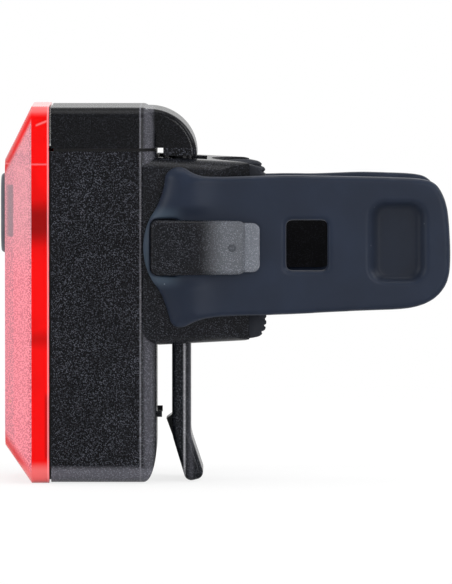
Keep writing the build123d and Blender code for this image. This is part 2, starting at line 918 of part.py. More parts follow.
with BuildPart() as clip_pin:
    with BuildSketch(Plane.XZ.offset(pivot_pin_length / 2)):
        with Locations((pivot_x, pivot_z)):
            Circle(pivot_pin_radius)
    extrude(amount=-(pivot_pin_length / 2 + nose_half_width - nose_edge_radius))

clip_pin.part.label = "clip_pin"
export_step(clip_pin.part, "parts/clip_pin.step")


# Spring round the pin: its lower leg bears on the clip, its upper leg on the nose

with BuildPart() as clip_spring:
    with BuildSketch(Plane.XZ):
        with Locations((pivot_x, pivot_z)):
            Circle(coil_outer_radius)
            Circle(coil_inner_radius, mode=Mode.SUBTRACT)
    extrude(amount=spring_slot_half_width - coil_play, both=True)
    with BuildSketch(Plane.XZ):
        with Locations((coil_leg_x, pivot_z - coil_leg_length / 2)):
            Rectangle(coil_wire, coil_leg_length)
        with Locations((pivot_x - coil_inner_radius - coil_wire / 2, pivot_z + coil_leg_length / 4)):
            Rectangle(coil_wire, coil_leg_length / 2)
    extrude(amount=coil_wire)

clip_spring.part.label = "clip_spring"
export_step(clip_spring.part, "parts/clip_spring.step")


# Hook on one side of the bracket: a root and a tongue that reaches over the strap

ejector_mark_reach = hook_tip_reach + ejector_mark_setback
lean = (hook_thickness - hook_end_thickness) / (hook_bend_reach - hook_step_reach)
lean_at_mark = lean * (hook_bend_reach - ejector_mark_reach)


def hook_outline(end_reach, inset):
    """Side outline of the hook's tongue up to end_reach, its height drawn in by inset."""
    with BuildSketch() as outline:
        with BuildLine():
            Polyline(
                (-hook_root_reach, hook_rise + hook_root_height / 2 - inset),
                (-end_reach, hook_rise + hook_tip_height / 2 - inset),
                (-end_reach, hook_rise - hook_tip_height / 2 + inset),
                (-hook_root_reach, hook_rise - hook_root_height / 2 + inset),
                close=True,
            )
        make_face()
        fillet(outline.vertices(), hook_corner)
    return outline.sketch


def hook_plan():
    """Plan of the near hook's tongue: flat over its root, then leaning in towards its tip."""
    with BuildSketch() as plan:
        with BuildLine():
            Polyline(
                (-hook_root_reach, -hook_inner_y),
                (-hook_root_reach, -hook_outer_y),
                (-hook_bend_reach, -hook_outer_y),
                (-hook_step_reach, -hook_inner_y - hook_end_thickness),
                (-hook_step_reach, -hook_inner_y),
                close=True,
            )
        make_face()
        bend = plan.vertices().sort_by_distance((-hook_bend_reach, -hook_outer_y))[0]
        fillet(bend, hook_bend_radius)
    return plan.sketch


with BuildPart() as hook_tip:
    with BuildSketch(Plane.XZ.offset(hook_inner_y)):
        add(hook_outline(hook_tip_reach, hook_step_inset))
    extrude(amount=hook_end_thickness - hook_step_depth)
    fillet(hook_tip.faces().sort_by(Axis.Y)[0].edges(), hook_step_edge_radius)

with BuildPart() as hook:
    with BuildSketch(Plane.XZ.offset(hook_inner_y)):
        add(hook_outline(hook_step_reach, 0))
    extrude(amount=hook_thickness)
    with BuildSketch(Plane.XY.offset(hook_rise - hook_root_height)):
        add(hook_plan())
    extrude(amount=2 * hook_root_height, mode=Mode.INTERSECT)
    outer_edges = hook.edges().filter_by(
        lambda edge: edge.center().Y < -hook_inner_y - (hook_thickness + hook_end_thickness) / 3
    )
    fillet(outer_edges, hook_edge_radius)
    add(hook_tip.part)
    with BuildSketch(Plane.XZ.offset(bracket_half_width - hook_thickness / 2)):
        with Locations((-hook_root_reach + hook_root_length / 2, hook_rise)):
            RectangleRounded(hook_root_length, hook_root_height - 2 * strap_side_gap, hook_corner)
    extrude(amount=hook_inner_y - bracket_half_width + hook_thickness)
    with BuildSketch(Plane.XZ.offset(hook_outer_y)):
        with Locations((-ejector_mark_reach, hook_rise)):
            Circle(ejector_mark_radius)
    extrude(amount=-(lean_at_mark + ejector_mark_depth), mode=Mode.SUBTRACT)


# Bracket: saddle for the pad, cheeks round the housing's back, pocket for the belt clip, hooks

cheek_front_x = back_x - cheek_reach
pocket_front_x = clip_front_x - dock_gap
pocket_rear_x = clip_rear_x + clip_flare + dock_gap
pocket_half_width = clip_width / 2 + pocket_side_play
groove_half_width = nub_spread / 2 + nub_radius + nub_groove_play


def bracket_side():
    """Side outline of the bracket's body, square at its corners."""
    with BuildSketch() as outline:
        with BuildLine():
            Polyline(
                (cheek_front_x, bracket_front_height / 2),
                (-bracket_rear_reach, bracket_rear_height / 2),
                (-bracket_rear_reach, -bracket_rear_height / 2),
                (cheek_front_x, -bracket_front_height / 2),
                close=True,
            )
        make_face()
    return outline.sketch


with BuildPart() as bracket:
    with BuildSketch(Plane.XZ.offset(-bracket_half_width)):
        add(bracket_side())
    extrude(amount=2 * bracket_half_width)
    long_edges = (
        bracket.faces()
        .filter_by(Axis.Y)
        .edges()
        .filter_by(lambda edge: edge.length > (post_to_light - bracket_rear_reach) / 2)
        .filter_by(Axis.Z, reverse=True)
    )
    fillet(long_edges, bracket_edge_radius)
    with BuildSketch(Plane.XZ.offset(-bracket_half_width)) as rounded_side:
        add(bracket_side())
        front_corners = rounded_side.vertices().group_by(Axis.X)[0].sort_by(Axis.Y)
        fillet(front_corners[0], bracket_bottom_corner)
        fillet(front_corners[-1], bracket_top_corner)
    extrude(amount=2 * bracket_half_width, mode=Mode.INTERSECT)
    with BuildSketch():
        with BuildLine():
            Polyline(
                (cheek_front_x, bracket_half_width),
                (-bracket_taper_start, bracket_half_width),
                (-bracket_rear_reach, bracket_rear_half_width),
                (-bracket_rear_reach, -bracket_rear_half_width),
                (-bracket_taper_start, -bracket_half_width),
                (cheek_front_x, -bracket_half_width),
                close=True,
            )
        make_face()
    extrude(amount=bracket_front_height, both=True, mode=Mode.INTERSECT)
    Cylinder(
        radius=saddle_radius + pad_seat_gap,
        height=bracket_front_height + overrun,
        mode=Mode.SUBTRACT,
    )
    # Cradle that the housing's back slides down into
    with BuildSketch():
        add(back_plan(-dock_gap, back_corner + dock_gap, housing_front_x))
    extrude(amount=bracket_front_height, both=True, mode=Mode.SUBTRACT)
    # Grooves that let the housing's nubs pass
    with BuildSketch():
        with Locations((back_x + dock_gap, 0)):
            Rectangle(2 * nub_groove_depth, 2 * groove_half_width)
    extrude(amount=bracket_front_height, both=True, mode=Mode.SUBTRACT)
    # Pocket for the clip, with a slit in front for its barb
    with BuildSketch():
        with Locations(((pocket_front_x + pocket_rear_x) / 2, 0)):
            Rectangle(pocket_rear_x - pocket_front_x, 2 * pocket_half_width)
    extrude(amount=bracket_front_height, both=True, mode=Mode.SUBTRACT)
    with BuildSketch():
        with Locations((pocket_front_x, 0)):
            Rectangle(2 * (pocket_front_x - back_x), 2 * (barb_half_width + slit_play))
    extrude(amount=bracket_front_height, both=True, mode=Mode.SUBTRACT)
    add(hook.part)
    mirror(hook.part, about=Plane.XZ)

bracket.part.label = "bracket"
export_step(bracket.part, "parts/bracket.step")


# Pad: ribbed rubber saddle between bracket and post

pad_rear_x = -sqrt(post_radius**2 - pad_half_width**2)
groove_count = int((pad_height - 2 * pad_corner / 3) / rib_pitch)

with BuildPart() as bracket_pad:
    with BuildSketch():
        Circle(saddle_radius)
        Circle(post_radius, mode=Mode.SUBTRACT)
        with Locations((pad_rear_x + saddle_radius, 0)):
            Rectangle(2 * saddle_radius, 2 * saddle_radius, mode=Mode.SUBTRACT)
    extrude(amount=pad_height / 2, both=True)
    with BuildSketch(Plane.XZ) as pad_side:
        with Locations((pad_rear_x - saddle_radius, 0)):
            Rectangle(2 * saddle_radius, pad_height)
        fillet(pad_side.vertices().group_by(Axis.X)[-1], pad_corner)
    extrude(amount=saddle_radius, both=True, mode=Mode.INTERSECT)
    for index in range(groove_count):
        groove_z = (index - (groove_count - 1) / 2) * rib_pitch
        with Locations((0, 0, groove_z)):
            Cylinder(
                radius=post_radius + rib_groove_depth, height=rib_groove_width, mode=Mode.SUBTRACT
            )
        with Locations((pad_rear_x, 0, groove_z)):
            Box(2 * rib_groove_depth, 3 * saddle_radius, rib_groove_width, mode=Mode.SUBTRACT)

bracket_pad.part.label = "bracket_pad"
export_step(bracket_pad.part, "parts/bracket_pad.step")


# Strap: each arm is one rubber moulding, told apart here into the eye that the hook holds
# and the free arm that bends beside the hook's tip

anchor_end_x = flex_x - strap_thickness / 2 - flex_gap


def strap_outline():
    """Side outline of a whole strap arm: length across, height up."""
    with BuildSketch() as outline:
        with BuildLine():
            Polyline(
                (-strap_tip_reach, hook_rise + strap_tip_half_width),
                (-strap_shoulder_reach, hook_rise + strap_shoulder_half_width),
                (-strap_flare_reach, hook_rise + strap_flare_half_width),
                (-strap_neck_reach, hook_rise + strap_half_width),
                (strap_end_reach, hook_rise + strap_end_top),
                (strap_end_reach, hook_rise - strap_end_bottom),
                (-strap_neck_reach, hook_rise - strap_half_width),
                (-strap_flare_reach, hook_rise - strap_flare_half_width),
                (-strap_shoulder_reach, hook_rise - strap_shoulder_half_width),
                (-strap_tip_reach, hook_rise - strap_tip_half_width),
                close=True,
            )
        make_face()
        fillet(outline.vertices().filter_by(lambda point: point.X < 0), strap_outline_radius)
        fillet(outline.vertices().group_by(Axis.X)[-1], strap_end_corner)
    return outline.sketch


def strap_form():
    """Solid of the whole near arm without its holes, its outer edges rounded."""
    with BuildPart() as form:
        with BuildSketch(Plane.XZ.offset(strap_inner_y)):
            add(strap_outline())
        extrude(amount=strap_thickness)
        fillet(form.faces().sort_by(Axis.Y)[0].edges(), strap_edge_radius)
    return form.part


with BuildPart() as strap_near_eye:
    add(strap_form())
    split(bisect_by=Plane.YZ.offset(anchor_end_x), keep=Keep.BOTTOM)
    with BuildSketch(Plane.XZ.offset(strap_inner_y)):
        with Locations((-hook_root_reach + hook_root_length / 2, hook_rise)):
            RectangleRounded(
                hook_root_length + 2 * eye_play,
                hook_root_height - 2 * strap_side_gap + 2 * eye_play,
                hook_corner + eye_play,
            )
    extrude(amount=strap_thickness, mode=Mode.SUBTRACT)

strap_near_eye.part.label = "strap_near_eye"
export_step(strap_near_eye.part, "parts/strap_near_eye.step")

with BuildPart() as strap_near_arm:
    add(strap_form())
    with BuildSketch(Plane.XY.offset(-strap_flare_half_width)):
        with Locations((flex_x, -strap_mid_y)):
            Circle(strap_thickness / 2)
        with Locations(((flex_x + strap_end_reach) / 2, -strap_mid_y)):
            Rectangle(strap_end_reach - flex_x, strap_thickness)
    extrude(amount=3 * strap_flare_half_width, mode=Mode.INTERSECT)
    with BuildSketch(Plane.XZ.offset(strap_inner_y)):
        with Locations((hole_centre_x, hole_centre_z)):
            RectangleRounded(hole_width, hole_height, hole_corner)
    extrude(amount=strap_thickness, mode=Mode.SUBTRACT)
    with BuildSketch(Plane.XZ.offset(strap_outer_y)):
        with Locations((recess_centre_x, recess_centre_z)):
            RectangleRounded(recess_width, recess_height, recess_corner)
    with BuildSketch(Plane.XZ.offset(strap_outer_y - recess_depth)):
        with Locations((recess_centre_x, recess_centre_z)):
            RectangleRounded(recess_floor_width, recess_floor_height, recess_floor_corner)
    loft(ruled=True, mode=Mode.SUBTRACT)

strap_near_arm.part.label = "strap_near_arm"
export_step(strap_near_arm.part, "parts/strap_near_arm.step")

with BuildPart() as strap_far_eye:
    mirror(strap_near_eye.part, about=Plane.XZ)

strap_far_eye.part.label = "strap_far_eye"
export_step(strap_far_eye.part, "parts/strap_far_eye.step")

with BuildPart() as strap_far_arm:
    mirror(strap_near_arm.part, about=Plane.XZ)

strap_far_arm.part.label = "strap_far_arm"
export_step(strap_far_arm.part, "parts/strap_far_arm.step")


# Closing stud: its flange lies on the far arm's inner side, its neck fills the arm's hole, and its
# head stands outside, low enough in outline to pass through the near arm's hole

stud_neck_y = strap_outer_y + stud_neck_length

with BuildPart() as strap_stud:
    with BuildSketch(Plane.XZ.offset(-strap_inner_y)):
        with Locations((hole_centre_x, hole_centre_z)):
            RectangleRounded(
                hole_width + 2 * stud_flange_margin,
                hole_height + 2 * stud_flange_margin,
                hole_corner + stud_flange_margin,
            )
    extrude(amount=stud_flange_thickness)
    with BuildSketch(Plane.XZ.offset(-strap_outer_y)):
        with Locations((hole_centre_x, hole_centre_z)):
            RectangleRounded(
                hole_width - 2 * stud_neck_play, hole_height - 2 * stud_neck_play, stud_corner
            )
    extrude(amount=strap_thickness)
    with BuildSketch(Plane.XZ.offset(-stud_neck_y)):
        with Locations((hole_centre_x, hole_centre_z)):
            RectangleRounded(
                hole_width - 2 * stud_head_play - 2 * stud_neck_inset,
                hole_height - 2 * stud_head_play - 2 * stud_neck_inset,
                stud_corner,
            )
    extrude(amount=stud_neck_length)
    with BuildSketch(Plane.XZ.offset(-stud_neck_y - stud_head_thickness)):
        with Locations((hole_centre_x, hole_centre_z)):
            RectangleRounded(
                hole_width - 2 * stud_head_play, hole_height - 2 * stud_head_play, stud_corner
            )
    extrude(amount=stud_head_thickness)
    fillet(strap_stud.faces().sort_by(Axis.Y)[-1].edges(), stud_head_thickness / 3)

strap_stud.part.label = "strap_stud"
export_step(strap_stud.part, "parts/strap_stud.step")
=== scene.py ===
import json
import logging
import math
from dataclasses import dataclass, field
from enum import Enum

import bmesh
import bpy
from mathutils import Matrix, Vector
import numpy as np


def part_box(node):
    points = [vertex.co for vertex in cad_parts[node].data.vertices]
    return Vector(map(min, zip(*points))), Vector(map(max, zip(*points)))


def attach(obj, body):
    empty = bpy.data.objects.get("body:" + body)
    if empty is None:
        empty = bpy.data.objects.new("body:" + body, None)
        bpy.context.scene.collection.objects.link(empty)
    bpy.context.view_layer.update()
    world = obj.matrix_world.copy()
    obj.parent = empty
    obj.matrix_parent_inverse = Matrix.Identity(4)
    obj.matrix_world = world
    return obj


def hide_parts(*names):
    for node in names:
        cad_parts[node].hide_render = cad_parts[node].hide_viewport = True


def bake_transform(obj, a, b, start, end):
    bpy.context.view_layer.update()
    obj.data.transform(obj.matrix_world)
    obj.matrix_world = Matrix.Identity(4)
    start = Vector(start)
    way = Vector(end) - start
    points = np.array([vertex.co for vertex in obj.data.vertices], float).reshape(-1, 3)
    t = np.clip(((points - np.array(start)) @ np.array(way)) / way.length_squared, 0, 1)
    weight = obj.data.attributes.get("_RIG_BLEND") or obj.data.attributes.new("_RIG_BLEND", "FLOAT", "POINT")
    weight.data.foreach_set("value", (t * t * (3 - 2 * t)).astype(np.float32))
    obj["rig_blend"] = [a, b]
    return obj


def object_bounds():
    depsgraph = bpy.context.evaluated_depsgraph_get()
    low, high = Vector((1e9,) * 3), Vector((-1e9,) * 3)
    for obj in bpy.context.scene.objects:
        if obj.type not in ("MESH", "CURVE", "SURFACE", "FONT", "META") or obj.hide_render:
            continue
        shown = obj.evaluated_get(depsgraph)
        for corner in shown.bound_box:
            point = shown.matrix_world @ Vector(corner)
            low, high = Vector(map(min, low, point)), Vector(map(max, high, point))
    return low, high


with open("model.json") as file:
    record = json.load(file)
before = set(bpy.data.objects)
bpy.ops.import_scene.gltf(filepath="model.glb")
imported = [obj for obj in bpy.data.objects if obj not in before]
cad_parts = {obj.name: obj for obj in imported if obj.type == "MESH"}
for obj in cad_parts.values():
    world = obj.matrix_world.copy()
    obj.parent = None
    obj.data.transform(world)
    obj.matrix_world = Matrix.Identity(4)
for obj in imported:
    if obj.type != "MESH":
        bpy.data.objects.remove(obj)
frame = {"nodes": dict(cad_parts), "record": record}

log = logging.getLogger("rear_light")
cad_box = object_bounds()
MM = 0.001

Colour = tuple[float, float, float]
Triple = tuple[float, float, float]
Point = tuple[float, float]
Span = tuple[float, float]
RoundedRectangle = tuple[Point, Point, float]      # its centre, size and corner radius
Node = bpy.types.Node
Socket = bpy.types.NodeSocket
Given = Socket | float


# Shader node helpers

class Graph:
    """A material's or a node group's nodes, added and joined by name."""

    def __init__(self, tree: bpy.types.NodeTree) -> None:
        """Wraps a node tree."""
        self.tree = tree

    def add(self, kind: str, **settings: object) -> Node:
        """Adds a node.

        Args:
            kind: the node's type name, without "ShaderNode".
            settings: properties of the node to set.

        Returns:
            The new node.
        """
        node = self.tree.nodes.new("ShaderNode" + kind)
        for key, value in settings.items():
            setattr(node, key, value)
        return node

    def link(self, source: Socket, target: Socket) -> None:
        """Joins an output to an input."""
        self.tree.links.new(source, target)

    def value(self, socket: Socket, given: Given) -> None:
        """Sets an input.

        Args:
            socket: the input.
            given: a constant, or an output to join to it.
        """
        if isinstance(given, bpy.types.NodeSocket):
            self.link(given, socket)
        else:
            socket.default_value = given

    def math(self, operation: str, first: Given, second: Given = 0.0) -> Socket:
        """Adds a Math node.

        Args:
            operation: what it works out.
            first: its first number or socket.
            second: its second one.

        Returns:
            Its output.
        """
        node = self.add("Math", operation=operation)
        self.value(node.inputs[0], first)
        self.value(node.inputs[1], second)
        return node.outputs[0]

    def plus(self, first: Given, second: Given) -> Socket:
        """The sum of two numbers or sockets."""
        return self.math("ADD", first, second)

    def minus(self, first: Given, second: Given) -> Socket:
        """The first number or socket less the second."""
        return self.math("SUBTRACT", first, second)

    def times(self, first: Given, second: Given) -> Socket:
        """The product of two numbers or sockets."""
        return self.math("MULTIPLY", first, second)

    def most(self, first: Given, second: Given) -> Socket:
        """The larger of two numbers or sockets."""
        return self.math("MAXIMUM", first, second)

    def squared(self, source: Socket, middle: float) -> Socket:
        """The square of how far a socket is from a middle."""
        return self.math("POWER", self.minus(source, middle), 2.0)

    def mix(self, mask: Socket, first: Socket | Colour, second: Socket | Colour) -> Socket:
        """Mixes two colours.

        Args:
            mask: how much of the second one shows.
            first: the colour where the mask is 0.
            second: the colour where the mask is 1.

        Returns:
            The mixed colour.
        """
        node = self.add("Mix", data_type="RGBA")
        self.link(mask, node.inputs["Factor"])
        self.value(node.inputs[6], (*first, 1.0) if isinstance(first, tuple) else first)
        self.value(node.inputs[7], (*second, 1.0) if isinstance(second, tuple) else second)
        return node.outputs[2]

    def place(self) -> Socket:
        """Object coordinates, in metres."""
        return self.add("TexCoord").outputs["Object"]

    def noise(self, vector: Socket, scale: Given, detail: Given) -> Socket:
        """Adds a Noise Texture.

        Args:
            vector: where it is read.
            scale: its scale.
            detail: how many finer layers it has.

        Returns:
            Its value.
        """
        node = self.add("TexNoise")
        self.link(vector, node.inputs["Vector"])
        self.value(node.inputs["Scale"], scale)
        self.value(node.inputs["Detail"], detail)
        return node.outputs["Fac"]

    def cells(self, vector: Socket, scale: Given, channel: str) -> tuple[Socket, Socket]:
        """Adds a Voronoi Texture.

        Args:
            vector: where it is read.
            scale: its scale.
            channel: the channel of the cells' random colour to read.

        Returns:
            Each cell's chance, from 0 to 1, and the distance from its middle.
        """
        node = self.add("TexVoronoi", feature="F1")
        self.link(vector, node.inputs["Vector"])
        self.value(node.inputs["Scale"], scale)
        chance = self.add("SeparateColor")
        self.link(node.outputs["Color"], chance.inputs["Color"])
        return chance.outputs[channel], node.outputs["Distance"]


@dataclass(frozen=True)
class Step:
    """A smooth step that is 0 at low, which may be the larger, and its share at high."""

    low: float
    high: float
    share: float = 1.0

    def mask(self, graph: Graph, source: Socket) -> Socket:
        """The step's mask.

        Args:
            graph: the nodes that it joins.
            source: the value that it follows.

        Returns:
            The mask's output.
        """
        node = graph.add("MapRange", interpolation_type="SMOOTHSTEP")
        graph.link(source, node.inputs["Value"])
        node.inputs["From Min"].default_value = self.low
        node.inputs["From Max"].default_value = self.high
        return graph.times(node.outputs["Result"], self.share)


@dataclass(frozen=True)
class Band:
    """A stretch between low and high with soft ends, as strong as its share."""

    low: float
    high: float
    soft: float
    share: float = 1.0

    def mask(self, graph: Graph, source: Socket) -> Socket:
        """The band's mask.

        Args:
            graph: the nodes that it joins.
            source: the value that it follows.

        Returns:
            The mask's output.
        """
        rise = Step(self.low - self.soft, self.low + self.soft)
        fall = Step(self.high + self.soft, self.high - self.soft, self.share)
        return graph.times(rise.mask(graph, source), fall.mask(graph, source))


# Shared shader groups

def new_group(name: str, inputs: dict[str, float | Triple], outputs: tuple[str, ...]) -> Graph:
    """Makes an empty shader node group, whose outputs are all single numbers.

    Args:
        name: the group's name.
        inputs: names and defaults of its inputs, where three numbers make a vector.
        outputs: names of its outputs.

    Returns:
        The group's graph, with its input and output nodes.
    """
    group = bpy.data.node_groups.new(name, "ShaderNodeTree")
    for title, default in inputs.items():
        kind = "NodeSocketVector" if isinstance(default, tuple) else "NodeSocketFloat"
        group.interface.new_socket(title, in_out="INPUT", socket_type=kind).default_value = default
    for title in outputs:
        group.interface.new_socket(title, in_out="OUTPUT", socket_type="NodeSocketFloat")
    group.nodes.new("NodeGroupInput")
    group.nodes.new("NodeGroupOutput")
    return Graph(group)


def build_spark_grain() -> bpy.types.NodeTree:
    """Makes the group for a spark-eroded surface.

    Returns:
        The group, which puts out the surface's height and the mask of its glints.
    """
    cells_per_wave = 1.3
    cell_reach = 0.8
    in_cell = Step(0.0, 0.6)
    glinting = Step(0.5, 1.0)
    patch_scale = 260.0
    patchy = Step(0.3, 0.7, 0.5)
    least_density = 0.6
    graph = new_group("spark_grain", {"Scale": 3500.0, "Glint": 0.5}, ("Height", "Glints"))
    given = graph.tree.nodes["Group Input"].outputs
    out = graph.tree.nodes["Group Output"].inputs
    place = graph.place()
    graph.link(graph.noise(place, given["Scale"], 3.0), out["Height"])
    chance, distance = graph.cells(place, graph.times(given["Scale"], cells_per_wave), "Red")
    near = in_cell.mask(graph, graph.minus(cell_reach, distance))
    grains = graph.times(glinting.mask(graph, chance), near)
    patches = patchy.mask(graph, graph.noise(place, patch_scale, 2.0))
    spread = graph.times(grains, graph.plus(patches, least_density))
    graph.link(graph.times(spread, given["Glint"]), out["Glints"])
    return graph.tree


def build_dust() -> bpy.types.NodeTree:
    """Makes the group for what handling leaves on dark rubber.

    Returns:
        The group, which puts out the masks of the faint specks and smears.
    """
    speck_scale = 900.0
    speck_radius = 0.16
    in_speck = Step(0.0, 0.14)
    rare = Step(0.93, 1.0)
    smear_scale = 160.0
    smeared = Step(0.35, 0.75)
    graph = new_group("handling_dust", {"Amount": 0.5}, ("Specks", "Smears"))
    given = graph.tree.nodes["Group Input"].outputs
    out = graph.tree.nodes["Group Output"].inputs
    place = graph.place()
    chance, distance = graph.cells(place, speck_scale, "Green")
    near = in_speck.mask(graph, graph.minus(speck_radius, distance))
    specks = graph.times(rare.mask(graph, chance), near)
    smears = smeared.mask(graph, graph.noise(place, smear_scale, 4.0))
    graph.link(graph.times(specks, given["Amount"]), out["Specks"])
    graph.link(graph.times(smears, given["Amount"]), out["Smears"])
    return graph.tree


def build_unevenness() -> bpy.types.NodeTree:
    """Makes the group for a moulded surface or, drawn out along one way, a brushed one.

    Returns:
        The group, which puts out the surface's height.
    """
    inputs = {"Scale": 2500.0, "Detail": 3.0, "Stretch": (1.0, 1.0, 1.0)}
    graph = new_group("fine_unevenness", inputs, ("Height",))
    given = graph.tree.nodes["Group Input"].outputs
    mapping = graph.add("Mapping")
    graph.link(graph.place(), mapping.inputs["Vector"])
    graph.link(given["Stretch"], mapping.inputs["Scale"])
    height = graph.noise(mapping.outputs["Vector"], given["Scale"], given["Detail"])
    graph.link(height, graph.tree.nodes["Group Output"].inputs["Height"])
    return graph.tree


GROUPS = {
    "spark_grain": build_spark_grain(),
    "handling_dust": build_dust(),
    "fine_unevenness": build_unevenness(),
}


# Finishes

class Surface(Graph):
    """A material's nodes, which end in one shader."""

    def __init__(self, name: str, shader: str) -> None:
        """Makes the material with its last shader and its output.

        Args:
            name: the material's name.
            shader: the shader node's type name, without "ShaderNode".
        """
        self.material = bpy.data.materials.new(name)
        self.material.use_nodes = True
        super().__init__(self.material.node_tree)
        self.tree.nodes.clear()
        self.shader = self.add(shader)
        self.link(self.shader.outputs[0], self.add("OutputMaterial").inputs["Surface"])

    def set(self, title: str | int, given: Given | tuple) -> None:
        """Sets one of the shader's inputs, or joins an output to it."""
        self.value(self.shader.inputs[title], given)

    def group(self, name: str, **values: float | Triple) -> bpy.types.bpy_prop_collection:
        """Places a shared node group.

        Args:
            name: the group's name.
            values: this material's own values for its inputs.

        Returns:
            The group's outputs.
        """
        node = self.add("Group", node_tree=GROUPS[name])
        for title, value in values.items():
            node.inputs[title].default_value = value
        return node.outputs

    def relief(self, height: Socket, depth: float) -> None:
        """Feeds a height to the shader's normal.

        Args:
            height: the height, from 0 to 1.
            depth: how deep the relief is, in metres.
        """
        node = self.add("Bump")
        node.inputs["Strength"].default_value = 1.0
        node.inputs["Distance"].default_value = depth
        self.link(height, node.inputs["Height"])
        self.set("Normal", node.outputs["Normal"])

    def millimetres(self) -> tuple[Socket, ...]:
        """Object X, Y and Z in millimetres.

        Returns:
            The three outputs.
        """
        split = self.add("SeparateXYZ")
        self.link(self.place(), split.inputs[0])
        return tuple(self.times(split.outputs[axis], 1 / MM) for axis in "XYZ")


@dataclass(frozen=True)
class Finish:
    """A surface finish: its name, its colour, its roughness and how far that varies."""

    name: str
    colour: Colour
    roughness: float
    spread: float = 0.2
    below: float = 0.1
    specular: float = 0.5

    def start(self) -> Surface:
        """Makes the material with its own colour, roughness and gloss.

        Returns:
            Its surface.
        """
        surface = Surface(self.name, "BsdfPrincipled")
        surface.set("Base Color", (*self.colour, 1.0))
        surface.set("Roughness", self.roughness)
        surface.set("Specular IOR Level", self.specular)
        surface.material.diffuse_color = (*self.colour, 1.0)
        return surface

    def texture(self, surface: Surface, height: Socket, depth: float) -> None:
        """Varies the roughness and the normal with a height.

        Args:
            surface: the material's surface.
            height: the height, from 0 to 1.
            depth: how deep the relief is, in metres.
        """
        rough = surface.plus(surface.times(height, self.spread), self.roughness - self.below)
        surface.set("Roughness", rough)
        surface.relief(height, depth)

    def build(self) -> bpy.types.Material:
        """Makes the finished material."""
        raise NotImplementedError


@dataclass(frozen=True)
class GrainedPlastic(Finish):
    """Black plastic moulded against a spark-eroded tool, which leaves a glittering grain.

    The speckle gives how much the painted highlights follow the glints, and how much lies between them.
    """

    specular: float = 0.1
    glint_colour: Colour = (0.13, 0.137, 0.17)
    grain_scale: float = 5000.0
    glint: float = 0.7
    depth: float = 0.00001
    speckle: Span = (1.2, 0.45)

    def build(self) -> bpy.types.Material:
        """Makes the grained plastic.

        Returns:
            The material.
        """
        surface = self.start()
        grain = surface.group("spark_grain", Scale=self.grain_scale, Glint=self.glint)
        # The glints are painted highlights: pale specks in the base colour.
        colour = surface.mix(grain["Glints"], self.colour, self.glint_colour)
        broken = surface.plus(surface.times(grain["Glints"], self.speckle[0]), self.speckle[1])
        surface.set("Base Color", self.tone_and_highlights(surface, colour, broken))
        self.texture(surface, grain["Height"], self.depth)
        return surface.material

    def tone_and_highlights(self, surface: Surface, colour: Socket, broken: Socket) -> Socket:
        """Colour with painted highlights: a plain grained part has none and keeps its even colour."""
        return colour


@dataclass(frozen=True)
class HighlightedBodyPlastic(GrainedPlastic):
    """Grained plastic of the light's body, darker in the cap, with painted highlights on its lower and rear
    rolls and along its rear edge.

    Places are in millimetres in the object's frame.
    """

    # Painted highlights: a pale colour on the lower and rear rolls and a bright line along the rear edge.
    highlight_colour: Colour = (0.2, 0.2, 0.235)
    edge_highlight_colour: Colour = (0.22, 0.22, 0.25)
    cap_colour: Colour = (0.001, 0.0012, 0.002)
    cap_z: Step = Step(16.85, 17.05, 0.8)
    low_roll_z: Step = Step(-34.9, -36.0)
    rear_roll_x: Band = Band(-26.5, -24.9, 0.4, 0.6)
    rear_highlight_x: Band = Band(-27.17, -26.93, 0.12)

    def tone_and_highlights(self, surface: Surface, colour: Socket, broken: Socket) -> Socket:
        """Colour with the darker cap, the painted highlights on the lower and rear rolls and the painted
        highlight line along the rear edge.

        Args:
            surface: the material's surface.
            colour: the plain grained colour.
            broken: the grain's mask that breaks up the painted highlights.

        Returns:
            The colour with its painted highlights.
        """
        x, _, z = surface.millimetres()
        colour = surface.mix(self.cap_z.mask(surface, z), colour, self.cap_colour)
        # Painted highlights on the rolls and along the rear edge, broken up by the grain.
        roll_highlights = surface.most(self.low_roll_z.mask(surface, z), self.rear_roll_x.mask(surface, x))
        colour = surface.mix(surface.times(roll_highlights, broken), colour, self.highlight_colour)
        edge_highlight = surface.times(self.rear_highlight_x.mask(surface, x), broken)
        return surface.mix(edge_highlight, colour, self.edge_highlight_colour)


@dataclass(frozen=True)
class HighlightedHookPlastic(GrainedPlastic):
    """Grained plastic of the bracket, with a painted highlight on the hooks' bent outer faces and tips.

    Places are in millimetres in the object's frame.
    """

    speckle: Span = (1.3, 0.47)
    # Painted highlight on the hooks' bent outer faces and tips.
    highlight_colour: Colour = (0.35, 0.375, 0.43)
    hook_face_y: Step = Step(17.0, 17.4)
    bend_x: Step = Step(-17.5, -12.5, 0.42)
    tip_x: Step = Step(-9.95, -9.85, 0.3)

    def tone_and_highlights(self, surface: Surface, colour: Socket, broken: Socket) -> Socket:
        """Colour with the painted highlight on the outer faces of both hooks.

        Args:
            surface: the material's surface.
            colour: the plain grained colour.
            broken: the grain's mask that breaks up the painted highlight.

        Returns:
            The colour with its painted highlight.
        """
        x, y, _ = surface.millimetres()
        outside = self.hook_face_y.mask(surface, surface.math("ABSOLUTE", y))
        along = surface.plus(self.bend_x.mask(surface, x), self.tip_x.mask(surface, x))
        hook_highlight = surface.times(surface.times(along, outside), broken)
        return surface.mix(hook_highlight, colour, self.highlight_colour)


